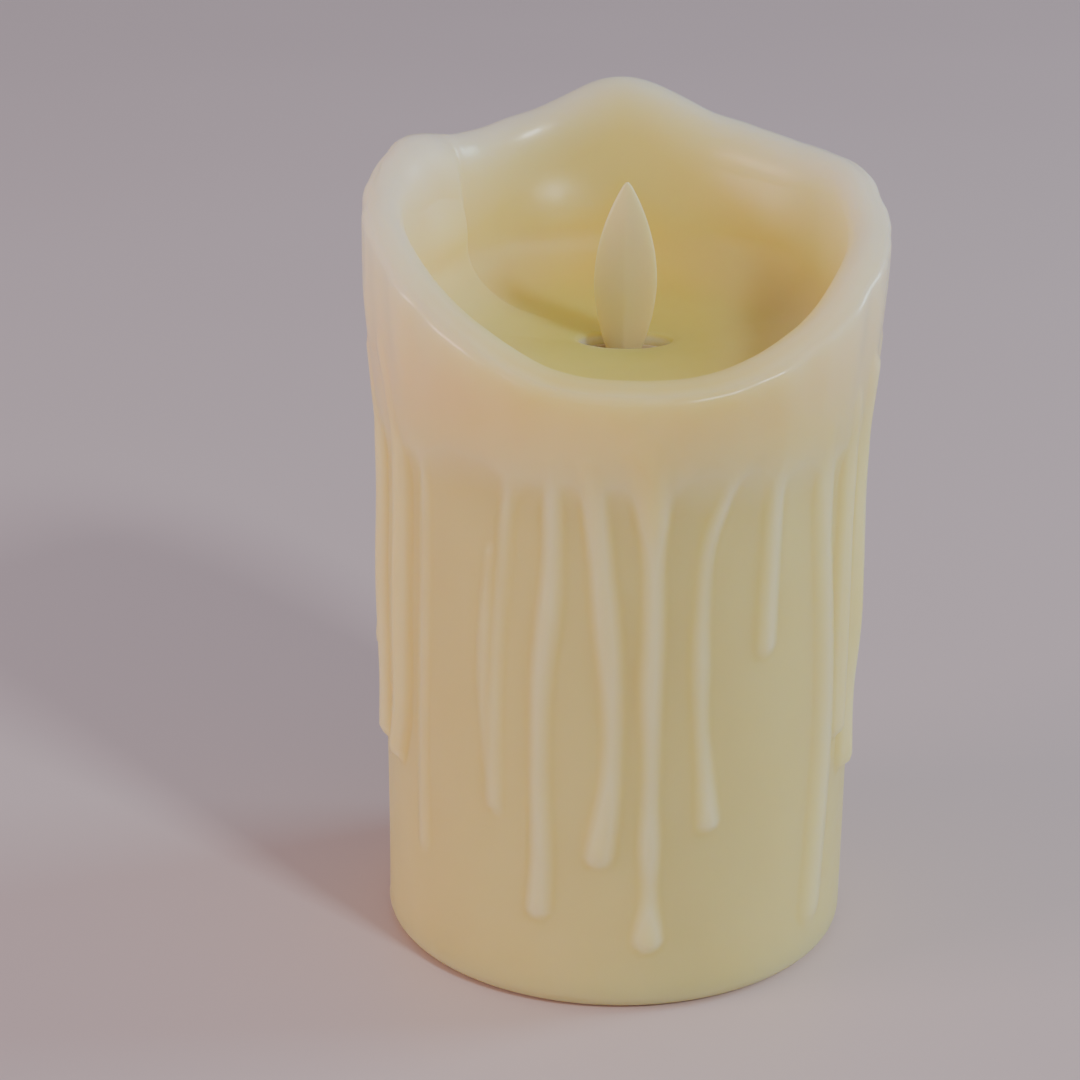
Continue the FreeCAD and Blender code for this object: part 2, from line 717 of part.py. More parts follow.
def make_chassis(side, label):
    """One half of the tower; side is 1 for the right half and -1 for the left half."""
    body = new_body(f"{label}_shell")
    profile = new_sketch(body, f"{label}_profile", "YZ_Plane")
    outline(profile, [
        ("0", "deck_bottom"),
        ("deck_radius", "deck_bottom"),
        ("deck_radius", "deck_bottom + deck_thickness"),
        ("tower_radius", "deck_bottom + deck_thickness"),
        ("tower_radius", "floor_under - collar_flange"),
        ("tower_mouth_radius", "floor_under - collar_flange"),
        ("tower_mouth_radius", "floor_under - collar_flange - tower_wall"),
        ("tower_radius - tower_wall", "floor_under - collar_flange - tower_wall"),
        ("tower_radius - tower_wall", "deck_bottom + deck_thickness"),
        ("0", "deck_bottom + deck_thickness"),
    ])
    revolve(body, profile, angle=180, reverse=side > 0)

    def half_block(name, x_low, x_high, y_low, y_size, z_low, z_size):
        """A box given for the right half, mirrored for the left half."""
        start = x_low if side > 0 else f"-({x_high})"
        return block(f"{label}_{name}", (start, y_low, z_low), (f"{x_high} - {x_low}", y_size, z_size))

    inner = "tower_radius - tower_wall + weld"
    lug = "lug_right" if side > 0 else "lug_left"
    boss_x = "base_boss_x" if side > 0 else "-base_boss_x"
    board_face = "board_thickness / 2"
    pieces = [body]
    for end, sign in (("front", "-"), ("back", "")):
        rib_low = f"-({inner})" if sign else "board_half_width - rib_overlap"
        pieces.append(half_block(f"board_rib_{end}", board_face, f"{board_face} + rib_thickness", rib_low,
                                 f"{inner} - board_half_width + rib_overlap", "deck_bottom",
                                 "board_height + deck_thickness"))
        post_low = f"-({inner})" if sign else "post_inner_y"
        pieces.append(half_block(f"pivot_post_{end}", "0", "post_width", post_low, f"{inner} - post_inner_y",
                                 "pivot_height - post_half_height", "2 * post_half_height"))
        lug_low = "-(lug_y + lug_half)" if sign else "tower_radius - tower_wall"
        for level in ("lug_low", "lug_high"):
            pieces.append(half_block(f"{level}_{end}", "0", lug, lug_low,
                                     "lug_y + lug_half - tower_radius + tower_wall",
                                     f"{level} - lug_half", "2 * lug_half"))
        pieces.append(rod(f"{label}_foot_{end}", "foot_radius", "deck_thickness + foot_height",
                          (boss_x, f"{sign}base_boss_y", "deck_bottom")))
    pieces.append(half_block("led_shelf", "0", "4", "led_shelf_y", f"{inner} - led_shelf_y",
                             "led_foot_height + led_shelf_rise", "led_shelf_thickness"))
    pieces.append(half_block("coil_shelf", "coil_shelf_x", inner, "-coil_shelf_half", "2 * coil_shelf_half",
                             "coil_bottom - coil_shelf_thickness",
                             "coil_shelf_thickness + coil_keeper_thickness"))
    pieces.append(half_block("coil_keeper", "coil_keeper_x", inner, "-coil_keeper_half",
                             "2 * coil_keeper_half", "coil_bottom + coil_height", "coil_keeper_thickness"))
    led_tilt = FreeCAD.Rotation(FreeCAD.Vector(1, 0, 0), value("led_tilt"))
    tools = [
        rod(f"{label}_coil_seat", "coil_flange_radius", "coil_height", (0, 0, "coil_bottom")),
        rod(f"{label}_wire_groove", "pivot_wire_radius", "2 * pivot_wire_half",
            (0, "-pivot_wire_half", "pivot_height"), ALONG_Y),
        rod(f"{label}_led_hole", "led_radius", "led_straight + led_radius + 1",
            (0, "led_foot_y", "led_foot_height"), led_tilt),
    ]
    for level in ("lug_low", "lug_high"):
        for end, sign in (("front", "-"), ("back", "")):
            name = f"{label}_{level}_bore_{end}"
            if side > 0:
                tools.append(rod(name, "screw_radius + bore_play", "lug_right + 1",
                                 (0, f"{sign}lug_y", level), ALONG_X))
            else:
                tools.append(rod(name, "screw_radius", "tower_screw_length - lug_right",
                                 ("lug_right - tower_screw_length", f"{sign}lug_y", level), ALONG_X))
    for end, sign in (("front", "-"), ("back", "")):
        tools.append(rod(f"{label}_foot_bore_{end}", "screw_radius", "base_screw_length",
                         (boss_x, f"{sign}base_boss_y", "screw_well_top")))
    if side > 0:
        tools.append(rod("cable_hole", "cable_hole_radius", "2 * deck_thickness",
                         ("cable_hole_x", "cable_hole_y", "deck_bottom - deck_thickness / 2")))
    add_part(cut(f"{label}_done", fuse(f"{label}_solid", pieces), *tools), label)


def make_chassis_screws():
    screws = []
    for level in ("lug_low", "lug_high"):
        for end, sign in (("front", "-"), ("back", "")):
            piece = screw(f"tower_screw_{level}_{end}", "screw_head_radius", "screw_head", "screw_radius",
                          "tower_screw_length")
            screws.append(place(piece, "lug_right", f"{sign}lug_y", level, AGAINST_X))
    add_part(group("tower_screws", screws), "chassis_screws")


# ---------------------------------------------------------------- coil

def make_coil():
    body = new_body("coil_bobbin")
    profile = new_sketch(body, "bobbin_profile", "XZ_Plane")
    outline(profile, [
        ("coil_hole_radius", "coil_bottom"),
        ("coil_flange_radius", "coil_bottom"),
        ("coil_flange_radius", "coil_bottom + coil_flange"),
        ("coil_hub_radius", "coil_bottom + coil_flange"),
        ("coil_hub_radius", "coil_bottom + coil_height - coil_flange"),
        ("coil_flange_radius", "coil_bottom + coil_height - coil_flange"),
        ("coil_flange_radius", "coil_bottom + coil_height"),
        ("coil_hole_radius", "coil_bottom + coil_height"),
    ])
    revolve(body, profile)
    add_part(body, "coil_bobbin")
    body = new_body("coil_winding")
    profile = new_sketch(body, "winding_profile", "XZ_Plane")
    rectangle(profile, "coil_hub_radius", "winding_radius", "coil_bottom + coil_flange",
              "coil_bottom + coil_height - coil_flange")
    revolve(body, profile)
    add_part(body, "coil_winding")
    mirrored = [(-x, y, z) for x, y, z in COIL_LEAD_ROUTE]
    leads = [tube("coil_lead_right", COIL_LEAD_ROUTE, value("lead_radius")),
             tube("coil_lead_left", mirrored, value("lead_radius"))]
    add_part(group("coil_ends", leads), "coil_leads")


# ---------------------------------------------------------------- circuit board

def make_circuit_board():
    body = new_body("circuit_board")
    profile = new_sketch(body, "board_profile", "YZ_Plane", "-board_thickness / 2")
    rectangle(profile, "-board_half_width", "board_half_width", "deck_bottom + deck_thickness",
              "deck_bottom + deck_thickness + board_height")
    pad(body, profile, "board_thickness")
    add_part(body, "circuit_board")


BOARD_FACE = "board_thickness / 2"


def make_control_chip():
    pieces = [block("chip_case", (f"{BOARD_FACE} + 0.1", "-chip_half_width", "chip_bottom"),
                    ("chip_thickness", "2 * chip_half_width", "chip_height"))]
    for number in range(4):
        level = f"chip_bottom + chip_leg_width + chip_leg_pitch * {number}"
        for side, low in (("front", "-chip_half_width - chip_leg_length + 0.1"),
                          ("back", "chip_half_width - 0.1")):
            pieces.append(block(f"chip_leg_{side}_{number}", (BOARD_FACE, low, level),
                                ("chip_thickness * 0.6", "chip_leg_length", "chip_leg_width")))
    add_part(fuse("chip", pieces), "control_chip")


def make_capacitor():
    can = rod("capacitor_can", "capacitor_radius", "capacitor_length",
              (f"{BOARD_FACE} + 0.8", "capacitor_y", "capacitor_z"), ALONG_X)
    legs = [rod(f"capacitor_leg_{name}", "lead_radius", "1", (BOARD_FACE, y, "capacitor_z"), ALONG_X)
            for name, y in (("front", "capacitor_y - 1"), ("back", "capacitor_y + 1"))]
    add_part(fuse("capacitor_solid", [can] + legs), "capacitor")


def make_transistor():
    case = rod("transistor_case", "transistor_radius", "transistor_length",
               (f"{BOARD_FACE} + 1.4", "transistor_y", "transistor_z"), ALONG_X)
    flat = block("transistor_flat", (BOARD_FACE, "transistor_y - 3.5", "transistor_z + transistor_flat"),
                 ("8", "7", "3"))
    legs = [block(f"transistor_leg_{number}",
                  (BOARD_FACE, f"transistor_y - 0.2 + chip_leg_pitch * {number - 1}", "transistor_z - 0.2"),
                  ("2", "transistor_leg", "transistor_leg")) for number in range(3)]
    add_part(fuse("transistor_solid", [cut("transistor_body", case, flat)] + legs), "transistor")


def make_resistors():
    corners = (("6.4", "41"), ("6.4", "37.5"), ("-8.6", "36"))
    chips = [block(f"resistor_{number}", (BOARD_FACE, y, z),
                   ("resistor_thickness", "resistor_length", "resistor_width"))
             for number, (y, z) in enumerate(corners)]
    add_part(group("resistor_set", chips), "resistors")


# ---------------------------------------------------------------- base

def make_base_housing():
    body = new_body("base_housing")
    profile = new_sketch(body, "base_profile", "XZ_Plane")
    outline(profile, [
        ("0", "plate_bottom"),
        ("ring_inner", "plate_bottom"),
        ("ring_inner", "0"),
        ("ring_outer", "0"),
        ("ring_outer", "plate_top"),
        ("skirt_outer", "plate_top"),
        ("skirt_outer", "deck_bottom"),
        ("skirt_inner", "deck_bottom"),
        ("skirt_inner", "plate_top"),
        ("0", "plate_top"),
    ])
    revolve(body, profile)
    bay_length = "bay_half_length + bay_wall"
    bay_width = "bay_half_width + bay_wall"
    walls = new_sketch(body, "bay_block", "XY_Plane", "plate_top - 0.4")
    rectangle(walls, f"-({bay_length})", bay_length, f"-({bay_width})", bay_width)
    pad(body, walls, "bay_ceiling + bay_roof - plate_top + 0.4")
    bosses = new_sketch(body, "screw_bosses", "XY_Plane", "plate_top - 0.4")
    for x in ("-base_boss_x", "base_boss_x"):
        for y in ("-base_boss_y", "base_boss_y"):
            circle(bosses, x, y, "base_boss_radius")
    pad(body, bosses, "deck_bottom - plate_top + 0.4")
    posts = new_sketch(body, "switch_posts", "XY_Plane", "plate_top - 0.4")
    for x in ("-switch_post_x", "switch_post_x"):
        circle(posts, x, "switch_y", "switch_post_radius")
    pad(body, posts, "switch_height + 0.4")
    bay = new_sketch(body, "bay_hollow", "XY_Plane")
    rectangle(bay, "-bay_half_length", "bay_half_length", "-bay_half_width", "bay_half_width")
    pocket(body, bay, "bay_ceiling", reverse=True)
    wells = new_sketch(body, "screw_wells", "XY_Plane")
    for x in ("-base_boss_x", "base_boss_x"):
        for y in ("-base_boss_y", "base_boss_y"):
            circle(wells, x, y, "screw_well_radius")
    pocket(body, wells, "screw_well_top", reverse=True)
    holes = new_sketch(body, "screw_holes", "XY_Plane")
    for x in ("-base_boss_x", "base_boss_x"):
        for y in ("-base_boss_y", "base_boss_y"):
            circle(holes, x, y, "screw_radius + 0.25")
    pocket(body, holes, "deck_bottom + 1", reverse=True)
    pilots = new_sketch(body, "post_pilots", "XY_Plane", "plate_top + switch_height")
    for x in ("-switch_post_x", "switch_post_x"):
        circle(pilots, x, "switch_y", "small_screw_radius")
    pocket(body, pilots, "small_screw_length - switch_board_thickness")
    dish = new_sketch(body, "finger_recess", "XY_Plane", "plate_bottom")
    rectangle(dish, "-recess_half_length", "recess_half_length", "switch_y - recess_half_width",
              "switch_y + recess_half_width")
    pocket(body, dish, "recess_depth", reverse=True)
    slot = new_sketch(body, "knob_slot", "XY_Plane")
    reach = "knob_travel / 2 + knob_half_length + slot_play"
    rectangle(slot, f"-({reach})", reach, "switch_y - knob_half_width - slot_play",
              "switch_y + knob_half_width + slot_play")
    pocket(body, slot, "plate_top + 0.1", reverse=True)
    marks = new_sketch(body, "position_marks", "XY_Plane", "plate_bottom")
    for step, x in enumerate(("-mark_pitch_x", "0", "mark_pitch_x")):
        for dot in range(step + 1):
            circle(marks, x, f"switch_y - mark_gap - mark_pitch_y * {dot}", "mark_radius")
    pocket(body, marks, "mark_depth", reverse=True)
    hinge = [rod(f"hinge_bore_{end}", "hinge_pin_radius + hinge_play", "hinge_bore_depth + overlap",
                 ("hinge_x", low, "hinge_height"), ALONG_Y)
             for end, low in (("front", "-hinge_pin_end - overlap"),
                              ("back", "hinge_pin_end - hinge_bore_depth"))]
    tab_slots = [block(f"tab_slot_{end}", (x, y, "contact_top"),
                       ("contact_thickness", "2 * tab_half_width", "tab_slot_height"))
                 for end, x, y in (("plus", contact_x(1), "-cell_pitch - tab_half_width"),
                                   ("minus", contact_x(-1), "cell_pitch - tab_half_width"))]
    ribs = [block(f"bay_rib_{end}", ("-bay_rib_half_length", y, "bay_ceiling - bay_rib_depth"),
                  ("2 * bay_rib_half_length", "bay_rib_width", "bay_rib_depth + overlap"))
            for end, y in (("front", "-(cell_pitch + bay_rib_width) / 2"),
                           ("back", "(cell_pitch - bay_rib_width) / 2"))]
    ribbed = fuse("base_ribbed", [body] + ribs)
    body.Label = "base_moulding"
    add_part(cut("base_done", ribbed, *hinge, *tab_slots), "base_housing")


def make_battery_door():
    """A plate with a knuckle and pin near each end of one side; the middle cell sits between them."""
    high_x = "bay_half_length - door_gap"
    half_width = "bay_half_width - door_gap"
    door_top = "door_bottom + door_thickness"
    pieces = [block("door_plate", ("hinge_x", f"-({half_width})", "door_bottom"),
                    (f"{high_x} - hinge_x", f"2 * ({half_width})", "door_thickness"))]
    for end, knuckle_low, pin_low in (("front", f"-({half_width})", "-hinge_pin_end"),
                                      ("back", "knuckle_inner", "knuckle_inner")):
        pieces.append(rod(f"door_knuckle_{end}", "hinge_barrel_radius", f"{half_width} - knuckle_inner",
                          ("hinge_x", knuckle_low, "hinge_height"), ALONG_Y))
        pieces.append(rod(f"door_pin_{end}", "hinge_pin_radius", "hinge_pin_end - knuckle_inner",
                          ("hinge_x", pin_low, "hinge_height"), ALONG_Y))
    tongue_corner = (f"{high_x} - latch_inset", "-latch_half_width", f"{door_top} - overlap")
    pieces.append(block("door_tongue", tongue_corner,
                        ("latch_thickness", "2 * latch_half_width", "latch_height + overlap")))
    for number in range(4):
        x = f"{high_x} - ridge_start + ridge_pitch * {number}"
        pieces.append(block(f"door_ridge_{number}", (x, "-ridge_half_length", "door_bottom - ridge_height"),
                            ("ridge_width", "2 * ridge_half_length", "ridge_height + overlap")))
    cuts = [block(f"door_latch_cut_{end}", (f"{high_x} - latch_cut_length", y, 0),
                  ("latch_cut_length + 1", "latch_cut_width", "5"))
            for end, y in (("front", "-latch_half_width - latch_cut_gap - latch_cut_width"),
                           ("back", "latch_half_width + latch_cut_gap"))]
    add_part(cut("door_done", fuse("door_solid", pieces), *cuts), "battery_door")


def make_base_screws():
    screws = []
    for x in ("-base_boss_x", "base_boss_x"):
        for y in ("-base_boss_y", "base_boss_y"):
            piece = screw(f"base_screw_{len(screws)}", "screw_head_radius", "screw_head", "screw_radius",
                          "base_screw_length")
            screws.append(place(piece, x, y, "screw_well_top"))
    add_part(group("base_screw_set", screws), "base_screws")


# ---------------------------------------------------------------- cells, contacts and springs

CELLS = (("battery_1", "-cell_pitch", 1), ("battery_2", "0", -1), ("battery_3", "cell_pitch", 1))


def make_batteries():
    """Three cells in series; each has its positive end on alternate sides."""
    rim = "cell_length - cell_nub - cell_dish"
    for label, y, side in CELLS:
        body = new_body(label)
        profile = new_sketch(body, f"{label}_profile", "XZ_Plane")
        outline(profile, [
            ("0", "0"),
            ("cell_radius - cell_foot_inset", "0"),
            ("cell_radius - cell_foot_inset", "cell_foot_height"),
            ("cell_radius - cell_bevel", "cell_foot_height"),
            ("cell_radius", "cell_foot_height + cell_bevel"),
            ("cell_radius", f"{rim} - cell_bevel"),
            ("cell_radius - cell_bevel", rim),
            ("cell_radius - cell_lip", rim),
            ("cell_radius - cell_lip", f"{rim} - cell_dish"),
            ("cell_nub_radius", f"{rim} - cell_dish"),
            ("cell_nub_radius", "cell_length"),
            ("0", "cell_length"),
        ])
        revolve(body, profile)
        negative_end = "bay_half_length - contact_thickness - cell_length"
        start = negative_end if side > 0 else f"-({negative_end})"
        place(body, start, y, "cell_height", ALONG_X if side > 0 else AGAINST_X)
        add_part(body, label)


def contact_x(side):
    return "bay_half_length - contact_thickness" if side > 0 else "-bay_half_length"


def contact_plate(name, side, y_low, y_high):
    return block(name, (contact_x(side), y_low, "contact_bottom"),
                 ("contact_thickness", f"{y_high} - ({y_low})", "contact_top - contact_bottom"))


def make_contacts():
    for label, side, y in (("contact_positive", 1, "-cell_pitch"), ("contact_negative", -1, "cell_pitch")):
        plate = contact_plate(f"{label}_plate", side, f"{y} - contact_half_width",
                              f"{y} + contact_half_width")
        tab = block(f"{label}_tab", (contact_x(side), f"{y} - tab_half_width", "contact_top - overlap"),
                    ("contact_thickness", "2 * tab_half_width", "tab_top - contact_top + overlap"))
        add_part(fuse(f"{label}_done", [plate, tab]), label)
    add_part(contact_plate("bridge_left", -1, "-cell_pitch - contact_half_width", "contact_half_width"),
             "contact_bridge_left")
    add_part(contact_plate("bridge_right", 1, "-contact_half_width", "cell_pitch + contact_half_width"),
             "contact_bridge_right")


def make_battery_springs():
    """Cone springs, pressed between each cell's negative end and its contact."""
    room = "2 * (bay_half_length - contact_thickness) - cell_length"
    for number, (label, y, side) in enumerate(CELLS, start=1):
        helix = doc.addObject("Part::Helix", f"spring_line_{number}")
        bind(helix, Height=f"{room} - 2 * spring_wire_radius",
             Pitch=f"({room} - 2 * spring_wire_radius) / spring_turns", Radius="spring_radius")
        helix.Angle = -14
        section = doc.addObject("Part::Circle", f"spring_section_{number}")
        bind(section, Radius="spring_wire_radius")
        place(section, "spring_radius", 0, 0, ALONG_Y)
        coil = doc.addObject("Part::Sweep", f"spring_coil_{number}")
        coil.Sections = [section]
        coil.Spine = (helix, ["Edge1"])
        coil.Solid = True
        coil.Frenet = True
        start = "bay_half_length - contact_thickness - spring_wire_radius"
        place(coil, f"-({start})" if side > 0 else start, y, "cell_height",
              ALONG_X if side > 0 else AGAINST_X)
        add_part(coil, f"battery_spring_{number}")


# ---------------------------------------------------------------- slide switch

def make_switch():
    top = "plate_top + switch_height"
    case = block("switch_case", ("-switch_half_length", "switch_y - switch_half_width", "plate_top"),
                 ("2 * switch_half_length", "2 * switch_half_width", "switch_height"))
    hollow = block("switch_hollow", ("-(switch_half_length - switch_skin)",
                                     "switch_y - switch_half_width + switch_skin", "plate_top + switch_skin"),
                   ("2 * (switch_half_length - switch_skin)", "2 * (switch_half_width - switch_skin)",
                    "switch_room"))
    reach = "knob_travel / 2 + knob_half_length + slot_play"
    window = block("switch_window",
                   (f"-({reach})", "switch_y - knob_half_width - slot_play", "plate_top - 1"),
                   (f"2 * ({reach})", "2 * (knob_half_width + slot_play)", "2"))
    pin_places = [f"{step} * switch_pin_pitch" for step in (-1.5, -0.5, 0.5, 1.5)]
    pin_bottom = f"{top} - switch_pin_root"
    bores = [rod(f"switch_bore_{number}", "switch_pin_radius", "2 * switch_pin_root",
                 (x, "switch_y", pin_bottom)) for number, x in enumerate(pin_places)]
    add_part(cut("switch_done", case, hollow, window, *bores), "switch_body")
    pins = [rod(f"switch_pin_{number}", "switch_pin_radius", f"switch_pin_top - ({pin_bottom})",
                (x, "switch_y", pin_bottom)) for number, x in enumerate(pin_places)]
    add_part(group("switch_pin_set", pins), "switch_pins")
    stem = block("knob_stem", ("knob_rest_x - knob_half_length", "switch_y - knob_half_width", "door_bottom"),
                 ("2 * knob_half_length", "2 * knob_half_width", "knob_height"))
    slider = block("knob_slider", ("knob_rest_x - slider_half_length", "switch_y - slider_half_width",
                                   "plate_top + switch_skin + slider_play"),
                   ("2 * slider_half_length", "2 * slider_half_width", "slider_thickness"))
    grooves = [block(f"knob_groove_{number}",
                     (f"knob_rest_x - knob_groove_width / 2 + knob_groove_pitch * ({number - 1})",
                      "switch_y - 2 * knob_half_width", "door_bottom"),
                     ("knob_groove_width", "4 * knob_half_width", "knob_groove_width"))
               for number in range(3)]
    add_part(cut("knob_done", fuse("knob_solid", [stem, slider]), *grooves), "switch_knob")
    body = new_body("switch_board")
    profile = new_sketch(body, "switch_board_profile", "XY_Plane", top)
    rectangle(profile, "-switch_board_half_length", "switch_board_half_length",
              "switch_y - switch_board_half_width", "switch_y + switch_board_half_width")
    pad(body, profile, "switch_board_thickness")
    holes = new_sketch(body, "switch_board_holes", "XY_Plane", top)
    for x in ("-switch_post_x", "switch_post_x"):
        circle(holes, x, "switch_y", "small_screw_radius")
    for x in pin_places:
        circle(holes, x, "switch_y", "switch_pin_radius")
    pocket(body, holes, "switch_board_thickness + 1", reverse=True)
    add_part(body, "switch_board")
    screws = []
    for x in ("-switch_post_x", "switch_post_x"):
        piece = screw(f"switch_screw_{len(screws)}", "small_head_radius", "small_head", "small_screw_radius",
                      "small_screw_length")
        downward = FreeCAD.Rotation(FreeCAD.Vector(1, 0, 0), 180)
        screws.append(place(piece, x, "switch_y", f"{top} + switch_board_thickness", downward))
    add_part(group("switch_screw_set", screws), "switch_screws")


# ---------------------------------------------------------------- build

make_wax_shell()
make_flame_collar()
make_flame_paddle()
make_flame_magnet()
make_pivot_wire()
make_led()
make_chassis(-1, "chassis_left")
make_chassis(1, "chassis_right")
make_chassis_screws()
make_coil()
make_circuit_board()
make_control_chip()
make_capacitor()
make_transistor()
make_resistors()
make_base_housing()
make_battery_door()
make_base_screws()
make_batteries()
make_contacts()
make_battery_springs()
make_switch()
for wire_label, wire_route in (("wire_battery_red", BATTERY_RED_ROUTE), ("wire_switch_red", SWITCH_RED_ROUTE),
                               ("wire_battery_black", BATTERY_BLACK_ROUTE)):
    add_part(tube(wire_label, wire_route, WIRE_RADIUS), wire_label)

doc.recompute()
for feature in doc.Objects:
    if "Invalid" in feature.State or "Error" in feature.State:
        raise RuntimeError(f"{feature.Label} did not build: {feature.State}")
for part in sub_parts:
    if part.Shape.isNull() or not part.Shape.isValid():
        raise RuntimeError(f"{part.Label} has a bad shape")

os.makedirs("parts", exist_ok=True)
for part in sub_parts:
    part.Shape.exportStep(f"parts/{part.Label}.step")
    print(f"{part.Label}: {len(part.Shape.Solids)} solid(s), {part.Shape.Volume:.1f} mm3")
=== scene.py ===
import math

import bpy
import numpy as np
from mathutils import Matrix, Vector


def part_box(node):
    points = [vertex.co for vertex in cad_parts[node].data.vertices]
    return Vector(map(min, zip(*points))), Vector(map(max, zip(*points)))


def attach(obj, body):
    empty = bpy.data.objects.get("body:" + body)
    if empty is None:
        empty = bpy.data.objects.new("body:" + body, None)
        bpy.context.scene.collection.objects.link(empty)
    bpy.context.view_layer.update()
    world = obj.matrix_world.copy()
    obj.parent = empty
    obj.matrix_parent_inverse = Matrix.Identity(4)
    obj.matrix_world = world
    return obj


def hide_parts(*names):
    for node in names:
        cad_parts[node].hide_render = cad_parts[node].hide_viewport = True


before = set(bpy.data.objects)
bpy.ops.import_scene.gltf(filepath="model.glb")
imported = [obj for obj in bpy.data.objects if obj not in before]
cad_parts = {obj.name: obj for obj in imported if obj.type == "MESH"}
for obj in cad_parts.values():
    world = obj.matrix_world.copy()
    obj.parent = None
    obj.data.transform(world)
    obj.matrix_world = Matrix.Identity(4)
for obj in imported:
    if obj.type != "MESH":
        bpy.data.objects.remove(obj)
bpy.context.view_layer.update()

MM = 0.001
scene = bpy.context.scene

# ---------------------------------------------------------------- sizes of the wax, in millimetres

SHELL_RADIUS = 37.5
SHELL_INSET = 0.1
SHELL_BOTTOM = 0.3
BOTTOM_ROUND = 2.0
BORE_RADIUS = 32.0
SEAT_RADIUS = 33.2
SEAT_HEIGHT = 2.4
FLOOR_UNDER = 91.5
POOL_FLOOR = 97.7
POOL_RISE = 0.6
POOL_CORNER = 14.0
POOL_CORNER_HEIGHT = 9.0
WALL_LOW_RADIUS = 32.8
WALL_HIGH_RADIUS = 34.6
WALL_FLARE_HEIGHT = 26.0
SLOT_HALF_LENGTH = 7.15
SLOT_HALF_WIDTH = 4.65
SLOT_ROUND = 0.7
RIM_OUTER_ROUND = 1.3
RIM_SLOPE = 0.6
HEM_HEIGHT = 87.0
BEAD_FOOT = 0.5
BEAD_CROWN_LIMIT = 2.1
COAT_THICKNESS = 1.35
HEM_LIP = 0.28
OUTER_LIMIT = 40.55
FRONT_LIMIT = 39.88

# Height of the melted rim at each bearing, in degrees from +X towards +Y.
RIM = [(0, 117.8), (17, 121.8), (45, 123.3), (66, 125.6), (90, 130.98), (113, 125.8), (131, 123.6),
       (154, 125.3), (172, 122.2), (200, 117.0), (230, 108.3), (252, 102.9), (270, 102.0), (292, 102.8),
       (316, 107.7), (340, 114.4)]

